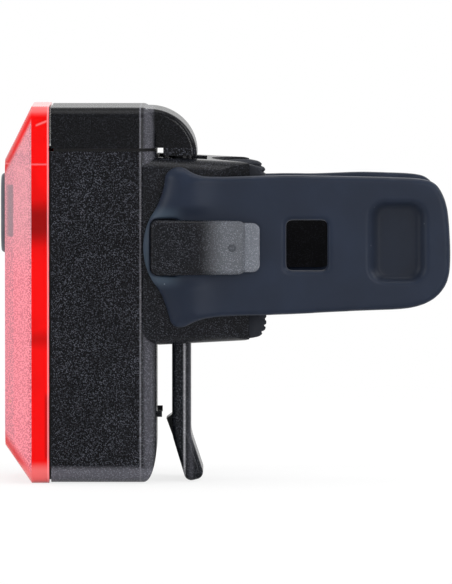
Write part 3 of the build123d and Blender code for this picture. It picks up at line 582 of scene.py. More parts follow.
@dataclass(frozen=True)
class Rubber(Finish):
    """Dull moulded rubber with a soft sheen and a little dust.

    A piece's sunk-place attribute marks its recess, which gets painted shade, and its "stretch"
    attribute marks where it is pulled taut round the hook, which gets a painted highlight.
    """

    specular: float = 0.14
    sheen: float = 0.03
    sheen_roughness: float = 0.5
    dust: float = 0.5
    dust_colour: Colour = (0.2, 0.22, 0.25)
    smear_gain: float = 1.25
    recess_shade_colour: Colour = (0.0, 0.0, 0.0)
    recess_shade_share: float = 0.4
    taut_highlight_colour: Colour = (0.055, 0.08, 0.11)
    taut_highlight_share: float = 0.6
    scale: float = 5200.0
    detail: float = 2.0
    depth: float = 0.000008

    def marked(self, surface: Surface, name: str, share: float) -> Socket:
        """The mask of a piece's attribute, made weaker by a share."""
        return surface.times(surface.add("Attribute", attribute_name=name).outputs["Fac"], share)

    def build(self) -> bpy.types.Material:
        """Makes the rubber.

        Returns:
            The material.
        """
        surface = self.start()
        dust = surface.group("handling_dust", Amount=self.dust)
        smeared = tuple(min(1.0, part * self.smear_gain) for part in self.colour)
        colour = surface.mix(dust["Smears"], self.colour, smeared)
        # Painted shade in the finger recess.
        recess_shade = self.marked(surface, "recess_shade", self.recess_shade_share)
        colour = surface.mix(recess_shade, colour, self.recess_shade_colour)
        # Painted highlight where the rubber is taut round the hook's root.
        taut_highlight = self.marked(surface, "stretch", self.taut_highlight_share)
        colour = surface.mix(taut_highlight, colour, self.taut_highlight_colour)
        surface.set("Base Color", surface.mix(dust["Specks"], colour, self.dust_colour))
        uneven = surface.group("fine_unevenness", Scale=self.scale, Detail=self.detail)
        self.texture(surface, uneven["Height"], self.depth)
        surface.set("Sheen Weight", self.sheen)
        surface.set("Sheen Roughness", self.sheen_roughness)
        return surface.material


@dataclass(frozen=True)
class Moulded(Finish):
    """Plain moulded or printed surface with a fine unevenness, darker where it is low."""

    scale: float = 2500.0
    depth: float = 0.00001
    low_shade: float = 0.75
    stretch: Triple = (1.0, 1.0, 1.0)
    coat: float = 0.0
    metallic: float = 0.0

    def build(self) -> bpy.types.Material:
        """Makes the surface.

        Returns:
            The material.
        """
        surface = self.start()
        uneven = surface.group("fine_unevenness", Scale=self.scale, Stretch=self.stretch)
        low = tuple(part * self.low_shade for part in self.colour)
        surface.set("Base Color", surface.mix(uneven["Height"], low, self.colour))
        self.texture(surface, uneven["Height"], self.depth)
        surface.set("Metallic", self.metallic)
        surface.set("Coat Weight", self.coat)
        return surface.material


@dataclass(frozen=True)
class Metal(Moulded):
    """Bare metal, brushed or ground along one way."""

    spread: float = 0.25
    below: float = 0.12
    scale: float = 6000.0
    depth: float = 0.000004
    low_shade: float = 0.7
    stretch: Triple = (1.0, 1.0, 0.1)
    metallic: float = 1.0


@dataclass(frozen=True)
class RedLens(Finish):
    """Clear red acrylic: glossy rim and chamfers, sides and face frosted with a fine stipple.

    Places are in millimetres in the object's frame.
    """

    specular: float = 0.1
    frost_colour: Colour = (0.92, 0.3, 0.35)
    fleck_colour: Colour = (0.46, 0.09, 0.13)
    high_colour: Colour = (0.46, 0.4, 0.42)
    shade_colour: Colour = (0.42, 0.2, 0.24)
    lit_colour: Colour = (0.78, 0.0005, 0.0005)
    shade_and_patch_colour: Colour = (0.2, 0.0, 0.0)
    lens_edge_highlight_colour: Colour = (0.95, 0.3, 0.33)
    lens_highlight_colour: Colour = (0.95, 0.42, 0.42)
    glow_colour: Colour = (0.9, 0.5, 0.12)
    skirt_colour: Colour = (0.2, 0.19, 0.21)

    face_x: float = -49.3
    face_top_z: float = 14.95
    face_bottom_z: float = -32.1
    top_slope: float = 8.6 / 4.4
    bottom_slope: float = 5.9 / 4.4

    # Painted shadows on the rim, and random darker patches.
    button_shadow_z: Band = Band(1.5, 8.0, 2.2)
    low_shadow_z: Band = Band(-15.4, -13.2, 1.2, 0.5)
    rear_shadow_x: Step = Step(-42.9, -42.5)
    rear_shadow_z: Band = Band(-34.0, -23.5, 0.8, 0.6)
    patches: Step = Step(0.46, 0.7, 0.3)
    patch_scale: float = 110.0
    patch_detail: float = 1.5
    patch_stretch: Triple = (1.0, 0.5, 0.7)
    shade_and_patch_share: float = 0.9
    # Painted highlights: a pale streak, pale top and bottom ends and bright lines at the joint and the rear
    # edge.
    streak_slope: float = 0.4
    streak_height: Band = Band(38.2, 38.5, 0.15)
    streak_x: Band = Band(-44.1, -42.3, 0.2, 0.35)
    highlight_top_z: Step = Step(22.0, 23.55, 0.35)
    highlight_bottom_z: Step = Step(-34.2, -36.0, 0.35)
    joint_highlight_z: Band = Band(14.2, 14.45, 0.12, 0.35)
    rear_highlight_x: Band = Band(-42.3, -42.05, 0.06, 0.7)

    rear_flecks_x: Step = Step(-46.0, -44.9, 0.3)
    fleck_share: float = 0.5
    high_z: Step = Step(-6.0, 6.0, 0.3)
    front_shade_x: Step = Step(-47.6, -48.0)
    frame_shade_z: Band = Band(14.3, 16.1, 0.4)
    shade_flecks: Span = (0.3, 0.12)
    skirt_x: Step = Step(-47.8, -48.0)
    skirt_y: Step = Step(10.0, 10.8)
    skirt_z: Band = Band(2.4, 10.9, 0.15, 0.7)
    glow: Step = Step(0.5, 0.05, 0.8)
    lamp: Triple = (-48.8, 11.8, -24.7)
    lamp_width_share: float = 0.3

    frost_below_top: Step = Step(1.4, 3.0)
    frost_above_bottom: Step = Step(0.5, 3.2)
    frost_x: Step = Step(-44.82, -44.98)
    frost_roughness: float = 0.35
    stipple: Step = Step(0.4, 0.6)
    stipple_scale: float = 4400.0
    stipple_depth: float = 0.00002

    def frosted_area(self, surface: Surface, x: Socket, z: Socket) -> Socket:
        """Mask of the frosted sides and face, inside the glossy chamfers and ahead of the rim.

        Args:
            surface: the material's surface.
            x: object X in millimetres.
            z: object Z in millimetres.

        Returns:
            The mask.
        """
        depth = surface.minus(x, self.face_x)
        top = surface.plus(surface.times(depth, self.top_slope), self.face_top_z)
        bottom = surface.plus(surface.times(depth, -self.bottom_slope), self.face_bottom_z)
        below_top = self.frost_below_top.mask(surface, surface.minus(top, z))
        above_bottom = self.frost_above_bottom.mask(surface, surface.minus(z, bottom))
        return surface.times(surface.times(below_top, above_bottom), self.frost_x.mask(surface, x))

    def rim(self, surface: Surface, x: Socket, z: Socket) -> Socket:
        """Colour of the glossy rim: clear red, with painted shadows of the button and at the rear, random
        darker patches, and painted highlight lines.

        Args:
            surface: the material's surface.
            x: object X in millimetres.
            z: object Z in millimetres.

        Returns:
            The colour.
        """
        shadow_bands = surface.most(self.button_shadow_z.mask(surface, z), self.low_shadow_z.mask(surface, z))
        rear_shadow = surface.times(self.rear_shadow_x.mask(surface, x), self.rear_shadow_z.mask(surface, z))
        uneven = surface.group(
            "fine_unevenness",
            Scale=self.patch_scale, Detail=self.patch_detail, Stretch=self.patch_stretch,
        )
        patches = self.patches.mask(surface, uneven["Height"])
        shade_and_patches = surface.times(surface.most(surface.most(shadow_bands, rear_shadow), patches), self.shade_and_patch_share)
        colour = surface.mix(shade_and_patches, self.lit_colour, self.shade_and_patch_colour)
        # Painted highlights: the streak, the ends and the edge lines.
        height = surface.minus(z, surface.times(x, self.streak_slope))
        streak_highlight = surface.times(self.streak_height.mask(surface, height), self.streak_x.mask(surface, x))
        colour = surface.mix(streak_highlight, colour, self.lens_highlight_colour)
        end_highlights = surface.most(self.highlight_top_z.mask(surface, z), self.highlight_bottom_z.mask(surface, z))
        colour = surface.mix(end_highlights, colour, self.lens_highlight_colour)
        line_highlights = surface.most(self.joint_highlight_z.mask(surface, z), self.rear_highlight_x.mask(surface, x))
        return surface.mix(line_highlights, colour, self.lens_edge_highlight_colour)

    def frosting(self, surface: Surface, place: tuple[Socket, ...], flecks: Socket) -> Socket:
        """Colour of the frosted sides and face, with painted shade and what shows dimly through them.

        Args:
            surface: the material's surface.
            place: object X, Y and Z in millimetres.
            flecks: the stipple's mask.

        Returns:
            The colour.
        """
        x, y, z = place
        aside = surface.math("ABSOLUTE", y)
        dark = surface.plus(self.rear_flecks_x.mask(surface, x), self.fleck_share)
        colour = surface.mix(surface.times(flecks, dark), self.frost_colour, self.fleck_colour)
        colour = surface.mix(self.high_z.mask(surface, z), colour, self.high_colour)
        # Painted shade across the face and under the frame.
        behind = surface.most(self.front_shade_x.mask(surface, x), self.frame_shade_z.mask(surface, z))
        shade = surface.plus(surface.times(flecks, self.shade_flecks[0]), self.shade_flecks[1])
        colour = surface.mix(surface.times(behind, shade), colour, self.shade_colour)
        skirt = surface.times(self.skirt_x.mask(surface, x), self.skirt_y.mask(surface, aside))
        skirt = surface.times(skirt, self.skirt_z.mask(surface, z))
        colour = surface.mix(skirt, colour, self.skirt_colour)
        away = surface.plus(surface.squared(x, self.lamp[0]), surface.squared(z, self.lamp[2]))
        sideways = surface.times(surface.squared(aside, self.lamp[1]), self.lamp_width_share)
        glow = self.glow.mask(surface, surface.plus(away, sideways))
        return surface.mix(glow, colour, self.glow_colour)

    def build(self) -> bpy.types.Material:
        """Makes the lens material.

        Returns:
            The material.
        """
        surface = self.start()
        place = surface.millimetres()
        x, _, z = place
        frost = self.frosted_area(surface, x, z)
        stipple = self.stipple.mask(surface, surface.noise(surface.place(), self.stipple_scale, 0.0))
        frosted = self.frosting(surface, place, stipple)
        surface.set("Base Color", surface.mix(frost, self.rim(surface, x, z), frosted))
        rough = surface.times(frost, self.frost_roughness)
        surface.set("Roughness", surface.plus(rough, self.roughness))
        surface.relief(surface.times(stipple, frost), self.stipple_depth)
        return surface.material


FINISHES = (
    HighlightedHookPlastic("bracket_plastic", (0.004, 0.0045, 0.006), 0.24, grain_scale=5600.0, glint=0.45),
    HighlightedBodyPlastic("housing_plastic", (0.0015, 0.0018, 0.003), 0.26),
    HighlightedBodyPlastic(
        "clip_plastic", (0.004, 0.005, 0.007), 0.26, glint=0.5, edge_highlight_colour=(0.7, 0.7, 0.75),
        low_roll_z=Step(-60.0, -61.0), rear_roll_x=Band(-19.2, -18.4, 0.4, 0.4),
        rear_highlight_x=Band(-20.01, -19.69, 0.16),
    ),
    GrainedPlastic("stud_plastic", (0.001, 0.001, 0.0015), 0.35, glint=0.1),
    Rubber("strap_rubber", (0.0085, 0.0135, 0.0265), 0.42, dust=1.0),
    Rubber("pad_rubber", (0.012, 0.014, 0.02), 0.5, dust=0.3),
    Rubber("button_rubber", (0.1, 0.115, 0.13), 0.5),
    Rubber("seal_rubber", (0.006, 0.006, 0.007), 0.5, dust=0.2),
    RedLens("red_lens", (0.8, 0.0, 0.001), 0.12),
    Metal("pin_steel", (0.6, 0.6, 0.62), 0.3, stretch=(1.0, 0.1, 1.0)),
    Metal("spring_steel", (0.7, 0.69, 0.66), 0.3),
    Metal("screw_steel", (0.6, 0.6, 0.6), 0.35),
    Metal("switch_metal", (0.62, 0.62, 0.64), 0.35),
    Metal("reflector_chrome", (0.85, 0.85, 0.87), 0.15),
    Moulded("frame_plastic", (0.62, 0.62, 0.6), 0.5),
    Moulded("board_laminate", (0.015, 0.14, 0.05), 0.35, coat=0.4),
    Moulded("led_resin", (0.85, 0.62, 0.22), 0.25, coat=0.6),
    Moulded("component_plastic", (0.02, 0.02, 0.022), 0.4),
    Moulded("cell_jacket", (0.06, 0.08, 0.12), 0.3, coat=0.5),
)


class Finishes:
    """The made materials, one for each material slot of the record."""

    def __init__(self) -> None:
        """Builds every finish once, under its slot's name."""
        self.made = {finish.name: finish.build() for finish in FINISHES}

    def dress(self, piece: bpy.types.Object, slot: str) -> None:
        """Gives a piece the material of a slot.

        Args:
            piece: the object to dress.
            slot: the record's material slot.
        """
        piece.data.materials.clear()
        piece.data.materials.append(self.made[slot])
        piece.data.attributes.active_color_index = -1


def dress_cad_nodes(finishes: Finishes) -> None:
    """Gives every CAD node the material of its slot in the record.

    Args:
        finishes: the made materials.
    """
    for part in frame["record"]["subparts"]:
        node = frame["nodes"][part["node"]]
        finishes.dress(node, part["material_slot"])
        log.info("dressed %s as %s", part["node"], part["material_slot"])


def new_piece(name: str, shape: bmesh.types.BMesh) -> bpy.types.Object:
    """Makes an object of a finished bmesh, and frees the bmesh.

    Args:
        name: the new piece's name.
        shape: its mesh, in metres in the object's frame.

    Returns:
        The piece, linked into the scene.
    """
    mesh = bpy.data.meshes.new(name)
    shape.to_mesh(mesh)
    shape.free()
    piece = bpy.data.objects.new(name, mesh)
    bpy.context.scene.collection.objects.link(piece)
    return piece


def new_parts(grown: dict, kind: type) -> list:
    """The vertices or faces that an extrusion made."""
    return [part for part in grown["geom"] if isinstance(part, kind)]


# Strap arms

class Side(Enum):
    """Which side of the bracket a strap arm is on, as the sign of its Y."""

    NEAR = -1
    FAR = 1


def smooth_loop(points: list[Point], rounds: int) -> list[Point]:
    """Rounds a closed outline by cutting its corners again and again.

    Args:
        points: the outline's corners.
        rounds: how many times every corner is cut.

    Returns:
        The rounded outline.
    """
    for _ in range(rounds):
        cut = []
        for index, (x, z) in enumerate(points):
            next_x, next_z = points[(index + 1) % len(points)]
            cut.append((0.75 * x + 0.25 * next_x, 0.75 * z + 0.25 * next_z))
            cut.append((0.25 * x + 0.75 * next_x, 0.25 * z + 0.75 * next_z))
        points = cut
    return points


def rounded_rectangle(centre: Point, size: Point, corner: float, steps: int = 6) -> list[Point]:
    """Corner points of a rounded rectangle.

    Args:
        centre: its middle.
        size: its width and height.
        corner: its corners' radius.
        steps: how many chords each corner has.

    Returns:
        The points, in order.
    """
    points = []
    for quarter, (across, up) in enumerate(((1, 1), (-1, 1), (-1, -1), (1, -1))):
        for step in range(steps + 1):
            turn = math.radians(90 * (quarter + step / steps))
            points.append(
                (
                    centre[0] + across * (size[0] / 2 - corner) + corner * math.cos(turn),
                    centre[1] + up * (size[1] / 2 - corner) + corner * math.sin(turn),
                )
            )
    return points


def distance_to_loop(x: float, z: float, loop: list[Point]) -> float:
    """Least distance from a place to a closed outline.

    Args:
        x: the place's first coordinate.
        z: its second coordinate.
        loop: the outline's corners.

    Returns:
        The distance.
    """
    best = math.inf
    for index, (ax, az) in enumerate(loop):
        bx, bz = loop[(index + 1) % len(loop)]
        run = (bx - ax) ** 2 + (bz - az) ** 2
        share = max(0.0, min(1.0, ((x - ax) * (bx - ax) + (z - az) * (bz - az)) / run)) if run else 0.0
        best = min(best, math.hypot(x - ax - share * (bx - ax), z - az - share * (bz - az)))
    return best


def outside_rectangle(x: float, z: float, centre: Point, size: Point, corner: float) -> float:
    """Distance from a rounded rectangle's edge, less than zero inside it.

    Args:
        x: the place's first coordinate.
        z: its second coordinate.
        centre: the rectangle's middle.
        size: its width and height.
        corner: its corners' radius.

    Returns:
        The signed distance.
    """
    out_x = abs(x - centre[0]) - size[0] / 2 + corner
    out_z = abs(z - centre[1]) - size[1] / 2 + corner
    return math.hypot(max(out_x, 0), max(out_z, 0)) + min(max(out_x, out_z), 0) - corner


def smooth_step(value: float, low: float, high: float) -> float:
    """Smooth step of a value, as Step gives in a material."""
    share = max(0.0, min(1.0, (value - low) / (high - low)))
    return share * share * (3 - 2 * share)


def relax(shape: bmesh.types.BMesh, rounds: int) -> None:
    """Smooths a mesh evenly, each vertex halfway to its neighbours.

    Args:
        shape: the mesh.
        rounds: how many times it is smoothed.
    """
    for _ in range(rounds):
        bmesh.ops.smooth_vert(
            shape, verts=shape.verts, factor=0.5, use_axis_x=True, use_axis_y=True, use_axis_z=True
        )


@dataclass
class StrapArm:
    """One rubber strap arm, from its eye round the hook to its rounded end, sizes in millimetres."""

    side: Side
    inner_y: float = 14.3
    thickness: float = 2.8
    edge_round: float = 0.7
    tip_round: float = 3.4
    tip_thinning: float = 1.7
    tip_zone: Span = (16.5, 21.0)
    droop: float = 0.0
    droop_zone: Span = (-15.0, -7.0)
    straighten: float = 0.55
    straighten_zone: Span = (0.0, 11.0)
    shortening: float = 0.0
    shortening_zone: Span = (8.0, 22.0)
    swell: float = 0.35
    swell_x: float = -18.4
    swell_reach: float = 2.6
    hook_z: float = 0.9
    hook_half_height: float = 5.0
    hook_clearance: float = 2.0
    voxel: float = 0.3
    eye: RoundedRectangle = ((-22.9, 0.9), (5.0, 9.1), 0.9)
    hole: RoundedRectangle = ((0.2, 1.2), (6.75, 8.25), 0.8)
    hole_round: float = 0.7
    recess: RoundedRectangle = ((15.0, 1.8), (10.0, 13.8), 2.9)
    recess_floor: RoundedRectangle = ((15.05, 1.75), (6.2, 11.2), 1.5)
    recess_depth: float = 1.35
    taut_zone: Span = (19.0, 23.5)
    taut_rise: Span = (0.0, 0.5)
    taut_fall: Span = (0.7, 2.6)
    bend: Span = (-8.6, -3.8)
    corners: list[Point] = field(
        default_factory=lambda: [
            (-20.5, 14.3), (-22.9, 13.2), (-23.1, 10.7), (-24.2, 7.6), (-25.8, 5.1), (-26.6, 2.0),
            (-26.5, -1.1), (-25.5, -4.1), (-23.6, -6.6), (-22.6, -9.4), (-21.9, -12.1), (-20.0, -12.4),
            (-17.6, -11.0), (-13.5, -10.35), (-4.0, -10.2), (5.6, -9.65), (12.0, -9.4), (17.0, -9.2),
            (20.3, -8.15), (22.4, -6.3), (23.5, -4.0), (23.7, -0.5), (23.5, 4.0), (23.2, 7.2),
            (22.4, 9.7), (21.1, 11.5), (18.8, 12.15), (12.0, 12.35), (-1.0, 12.65), (-8.0, 12.55),
            (-15.0, 12.3), (-18.0, 12.6),
        ]
    )

    @property
    def middle_y(self) -> float:
        """How far the plate's middle is from the object's middle plane."""
        return self.inner_y + self.thickness / 2

    def plate(self) -> bmesh.types.BMesh:
        """The flat plate with its eye and its hole, before its edges soften.

        Returns:
            The plate's mesh.
        """
        shape = bmesh.new()
        outer_y = self.side.value * (self.inner_y + self.thickness)
        loops = [smooth_loop(self.corners, 2), rounded_rectangle(*self.eye), rounded_rectangle(*self.hole)]
        edges = []
        for loop in loops:
            ring = [shape.verts.new((x * MM, outer_y * MM, z * MM)) for x, z in loop]
            edges += [shape.edges.new((ring[i], ring[(i + 1) % len(ring)])) for i in range(len(ring))]
        bmesh.ops.triangle_fill(shape, use_beauty=True, use_dissolve=False, edges=edges)
        grown = bmesh.ops.extrude_face_region(shape, geom=shape.faces[:])
        inwards = (0, -self.side.value * self.thickness * MM, 0)
        bmesh.ops.translate(shape, verts=new_parts(grown, bmesh.types.BMVert), vec=inwards)
        bmesh.ops.recalc_face_normals(shape, faces=shape.faces[:])
        return shape

    def sunk(self, x: float, z: float) -> float:
        """How far a place lies down the finger recess.

        Args:
            x: place along the arm.
            z: height.

        Returns:
            0 outside and at the recess's rim, 1 on its floor.
        """
        inside_rim = max(0.0, -outside_rectangle(x, z, *self.recess))
        outside_floor = max(0.0, outside_rectangle(x, z, *self.recess_floor))
        return smooth_step(inside_rim, 0.0, inside_rim + outside_floor) if inside_rim > 0 else 0.0

    def taut_highlight(self, x: float, z: float) -> float:
        """How far the rubber is stretched at a place round the hook's root, the mask of its painted
        highlight.

        Args:
            x: place along the arm.
            z: height.

        Returns:
            The stretch, from 0 to 1.
        """
        from_eye = outside_rectangle(x, z, *self.eye)
        ring = smooth_step(from_eye, *self.taut_rise) * (1 - smooth_step(from_eye, *self.taut_fall))
        return ring * smooth_step(-x, *self.taut_zone)

    def depth_at(self, x: float, z: float, outline: list[Point]) -> float:
        """How far the outer surface is drawn in at a place, less its swell.

        Args:
            x: place along the arm.
            z: height.
            outline: the arm's rounded outline.

        Returns:
            The depth below the plate's outer face.
        """
        edge = distance_to_loop(x, z, outline)
        tip = smooth_step(-x, *self.tip_zone)
        reach = self.edge_round + tip * (self.tip_round - self.edge_round)
        drop = self.edge_round + tip * (self.tip_thinning - self.edge_round)
        inwards = max(0.0, 1 - edge / reach)
        depth = drop * (1 - math.sqrt(max(0.0, 1 - inwards * inwards)))
        depth += self.recess_depth * self.sunk(x, z)
        from_hole = max(0.0, outside_rectangle(x, z, *self.hole))
        depth += self.hole_round / 2 * max(0.0, 1 - from_hole / self.hole_round) ** 2
        clear_of_hook = self.hook_half_height + self.hook_clearance
        beside_hook = smooth_step(abs(z - self.hook_z), self.hook_half_height, clear_of_hook)
        swell = self.swell * math.exp(-(((x - self.swell_x) / self.swell_reach) ** 2)) * beside_hook
        return depth - swell

    def soften(self, vert: bmesh.types.BMVert, outline: list[Point]) -> None:
        """Moves a vertex from the flat plate to the moulded, hanging arm.

        Args:
            vert: the vertex.
            outline: the arm's rounded outline.
        """
        x, y, z = (part / MM for part in vert.co)
        outwards = (abs(y) - self.middle_y) / (self.thickness / 2)
        if outwards > 0:
            y -= self.side.value * self.depth_at(x, z, outline) * min(1.0, outwards)
            vert.co.y = y * MM
        vert.co.x -= self.shortening * smooth_step(x, *self.shortening_zone) * MM
        sag = smooth_step(x, *self.droop_zone) - self.straighten * smooth_step(x, *self.straighten_zone)
        vert.co.z -= self.droop * sag * MM

    def build(self) -> bpy.types.Object:
        """Models the arm: plate, even mesh, softened edges, recess and thinned tip.

        Returns:
            The arm's piece.
        """
        piece = new_piece(f"strap_{self.side.name.lower()}", self.plate())
        remesh = piece.modifiers.new("even_mesh", "REMESH")
        remesh.mode = "VOXEL"
        remesh.voxel_size = self.voxel * MM
        bpy.context.view_layer.update()
        remeshed = piece.evaluated_get(bpy.context.evaluated_depsgraph_get())
        piece.data = bpy.data.meshes.new_from_object(remeshed)
        piece.modifiers.clear()
        outline = smooth_loop(self.corners, 1)
        shape = bmesh.new()
        shape.from_mesh(piece.data)
        relax(shape, 3)
        # Mask of the painted shade in the finger recess.
        recess_shade = shape.verts.layers.float.new("recess_shade")
        # Mask of the painted highlight where the rubber is taut.
        stretch = shape.verts.layers.float.new("stretch")
        for vert in shape.verts:
            x, z = vert.co.x / MM, vert.co.z / MM
            vert[recess_shade] = self.sunk(x, z)
            vert[stretch] = self.taut_highlight(x, z)
            self.soften(vert, outline)
        relax(shape, 1)
        for face in shape.faces:
            face.smooth = True
        shape.to_mesh(piece.data)
        shape.free()
        return piece

    def finish(self, finishes: Finishes) -> None:
        """Builds the arm, dresses it and bends it across its joint.

        Args:
            finishes: the made materials.
        """
        piece = self.build()
        finishes.dress(piece, "strap_rubber")
        side = self.side.name.lower()
        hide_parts(f"strap_{side}_eye", f"strap_{side}_arm")
        y = self.side.value * self.middle_y * MM
        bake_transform(piece, "mount", f"{side}_arm", (self.bend[0] * MM, y, 0), (self.bend[1] * MM, y, 0))
        log.info("built %s with %d faces", piece.name, len(piece.data.polygons))


# Pad and button

@dataclass
class BracketPad:
    """Ribbed rubber pad between the bracket and the seatpost, sizes in millimetres."""

    inner_radius: float = 13.6
    outer_radius: float = 15.4
    rear_x: float = 6.4
    height: float = 28.6
    corner: float = 2.6
    rib_pitch: float = 1.05
    groove_depth: float = 0.4
    edge_round: float = 0.35
    arc_steps: int = 40
    levels_per_rib: int = 6

    def plan(self) -> list[Point]:
        """The pad's outline from above, its outer arc first.

        Returns:
            The outline's points.
        """
        points = []
        for radius, way in ((self.outer_radius, 1), (self.inner_radius, -1)):
            reach = math.acos(self.rear_x / radius)
            for step in range(self.arc_steps + 1):
                turn = way * reach * (2 * step / self.arc_steps - 1)
                points.append((-radius * math.cos(turn), radius * math.sin(turn)))
        return points

    def groove(self, z: float) -> float:
        """How deep the ribbing is cut at a height."""
        wave = 0.5 - 0.5 * math.cos(2 * math.pi * z / self.rib_pitch)
        return self.groove_depth * wave**3

    def setback(self, z: float) -> float:
        """How far the pad's rear edge is drawn in at a height by its rounded corners."""
        into = max(0.0, abs(z) - self.height / 2 + self.corner)
        return self.corner - math.sqrt(max(0.0, self.corner**2 - into**2))

    def place(self, vert: bmesh.types.BMVert) -> None:
        """Moves a vertex from the plain saddle to the ribbed, rounded pad.

        Args:
            vert: the vertex.
        """
        x, y, z = (part / MM for part in vert.co)
        radius = math.hypot(x, y)
        share = math.atan2(y, -x) / math.acos(min(1.0, self.rear_x / radius))
        thick = (radius - self.inner_radius) / (self.outer_radius - self.inner_radius)
        half_steps = self.arc_steps / 2
        end = max(0.0, abs(share) * half_steps - half_steps + 1)
        round_end = self.edge_round * (1 - math.sqrt(max(0.0, 1 - end * end)))
        round_end += self.edge_round * max(0.0, 1 - (self.height / 2 - abs(z)) / self.edge_round) ** 2
        cut = self.groove(z)
        radius += (1 - thick) * (cut + round_end) - thick * round_end
        limit = self.rear_x + self.setback(z) + cut * (1 if end > 0 else 0)
        turn = share * math.acos(min(1.0, limit / radius))
        vert.co.x = -radius * math.cos(turn) * MM
        vert.co.y = radius * math.sin(turn) * MM

    def finish(self, finishes: Finishes) -> None:
        """Builds the pad, dresses it and puts it on the bracket.

        Args:
            finishes: the made materials.
        """
        shape = bmesh.new()
        ring = [shape.verts.new((x * MM, y * MM, -self.height / 2 * MM)) for x, y in self.plan()]
        faces = [shape.faces.new(ring)]
        levels = round(self.height / self.rib_pitch * self.levels_per_rib)
        for _ in range(levels):
            grown = bmesh.ops.extrude_face_region(shape, geom=faces)
            last, faces = faces, new_parts(grown, bmesh.types.BMFace)
            upwards = (0, 0, self.height / levels * MM)
            bmesh.ops.translate(shape, verts=new_parts(grown, bmesh.types.BMVert), vec=upwards)
            bmesh.ops.delete(shape, geom=last, context="FACES_ONLY")
        bmesh.ops.holes_fill(shape, edges=shape.edges[:])
        for vert in shape.verts:
            self.place(vert)
        for face in shape.faces:
            face.smooth = len(face.verts) == 4
        bmesh.ops.recalc_face_normals(shape, faces=shape.faces[:])
        piece = new_piece("ribbed_pad", shape)
        finishes.dress(piece, "pad_rubber")
        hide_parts("bracket_pad")
        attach(piece, "mount")
        log.info("built %s with %d faces", piece.name, len(piece.data.polygons))


@dataclass
class RubberButton:
    """Soft button in the lens face: a crowned dome on a thin flange, sizes in millimetres."""

    width: float = 8.0
    height: float = 13.1
    flange: float = 1.2
    flange_thickness: float = 0.9
    corner_steps: int = 12
    crown: float = 0.6
    crown_steps: int = 5
    dish: float = 0.25
    dish_steps: int = 6
    dish_reach: float = 2.6

    def grow(self, shape: bmesh.types.BMesh, faces: list, ahead: float, inwards: float) -> list:
        """Extrudes the front face and draws it in evenly all round.

        Args:
            shape: the button's mesh.
            faces: its present front face.
            ahead: how far the new face stands in front of the last one.
            inwards: how far its outline lies inside the last one.

        Returns:
            The new front face.
        """
        low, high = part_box("button")
        centre_z = (low[2] + high[2]) / 2
        half_run = (self.height - self.width) / 2 * MM
        grown = bmesh.ops.extrude_face_region(shape, geom=faces)
        bmesh.ops.delete(shape, geom=faces, context="FACES_ONLY")
        for vert in new_parts(grown, bmesh.types.BMVert):
            spine = Vector((vert.co.x, 0, max(-half_run, min(half_run, vert.co.z - centre_z)) + centre_z))
            vert.co -= (vert.co - spine).normalized() * inwards * MM
            vert.co.x -= ahead * MM
        return new_parts(grown, bmesh.types.BMFace)

    def finish(self, finishes: Finishes) -> None:
        """Builds the button, dresses it and puts it on the moving button's body.

        Args:
            finishes: the made materials.
        """
        low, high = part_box("button")
        centre_z = (low[2] + high[2]) / 2 / MM
        size = (self.width + 2 * self.flange, self.height + 2 * self.flange)
        loop = rounded_rectangle((0, centre_z), size, size[0] / 2, self.corner_steps)
        shape = bmesh.new()
        ring = [shape.verts.new((high[0], y * MM, z * MM)) for y, z in loop]
        bmesh.ops.remove_doubles(shape, verts=shape.verts, dist=self.flange_thickness * MM / 100)
        faces = [shape.faces.new([vert for vert in ring if vert.is_valid])]
        faces = self.grow(shape, faces, self.flange_thickness, 0.0)
        faces = self.grow(shape, faces, 0.0, self.flange)
        stem = (high[0] - low[0]) / MM - self.flange_thickness - self.crown
        faces = self.grow(shape, faces, stem, 0.0)
        for step in range(self.crown_steps):
            start, end = (math.pi / 2 * part / self.crown_steps for part in (step, step + 1))
            rise = self.crown * (math.sin(end) - math.sin(start))
            faces = self.grow(shape, faces, rise, self.crown * (math.cos(start) - math.cos(end)))
        for step in range(self.dish_steps):
            turns = (math.pi * part / self.dish_steps for part in (step, step + 1))
            start, end = (0.5 - 0.5 * math.cos(turn) for turn in turns)
            faces = self.grow(shape, faces, -self.dish * (end - start), self.dish_reach / self.dish_steps)
        bmesh.ops.holes_fill(shape, edges=shape.edges[:])
        for face in shape.faces:
            face.smooth = len(face.verts) == 4
        bmesh.ops.recalc_face_normals(shape, faces=shape.faces[:])
        piece = new_piece("dished_button", shape)
        finishes.dress(piece, "button_rubber")
        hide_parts("button")
        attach(piece, "push_button")
        log.info("built %s with %d faces", piece.name, len(piece.data.polygons))


# Studio

@dataclass(frozen=True)
class Lamp:
    """A soft rectangular lamp that faces the object, with its place and size in metres."""

    name: str
    place: Triple
    size: Point
    watts: float

    def build(self) -> None:
        """Hangs the lamp, which the camera itself doesn't see."""
        data = bpy.data.lights.new(self.name, "AREA")
        data.shape = "RECTANGLE"
        data.size, data.size_y = self.size
        data.energy = self.watts
        lamp = bpy.data.objects.new(self.name, data)
        lamp.visible_camera = False
        bpy.context.scene.collection.objects.link(lamp)
        lamp.location = self.place
        lamp.rotation_euler = (-Vector(self.place)).to_track_quat("-Z", "Y").to_euler()


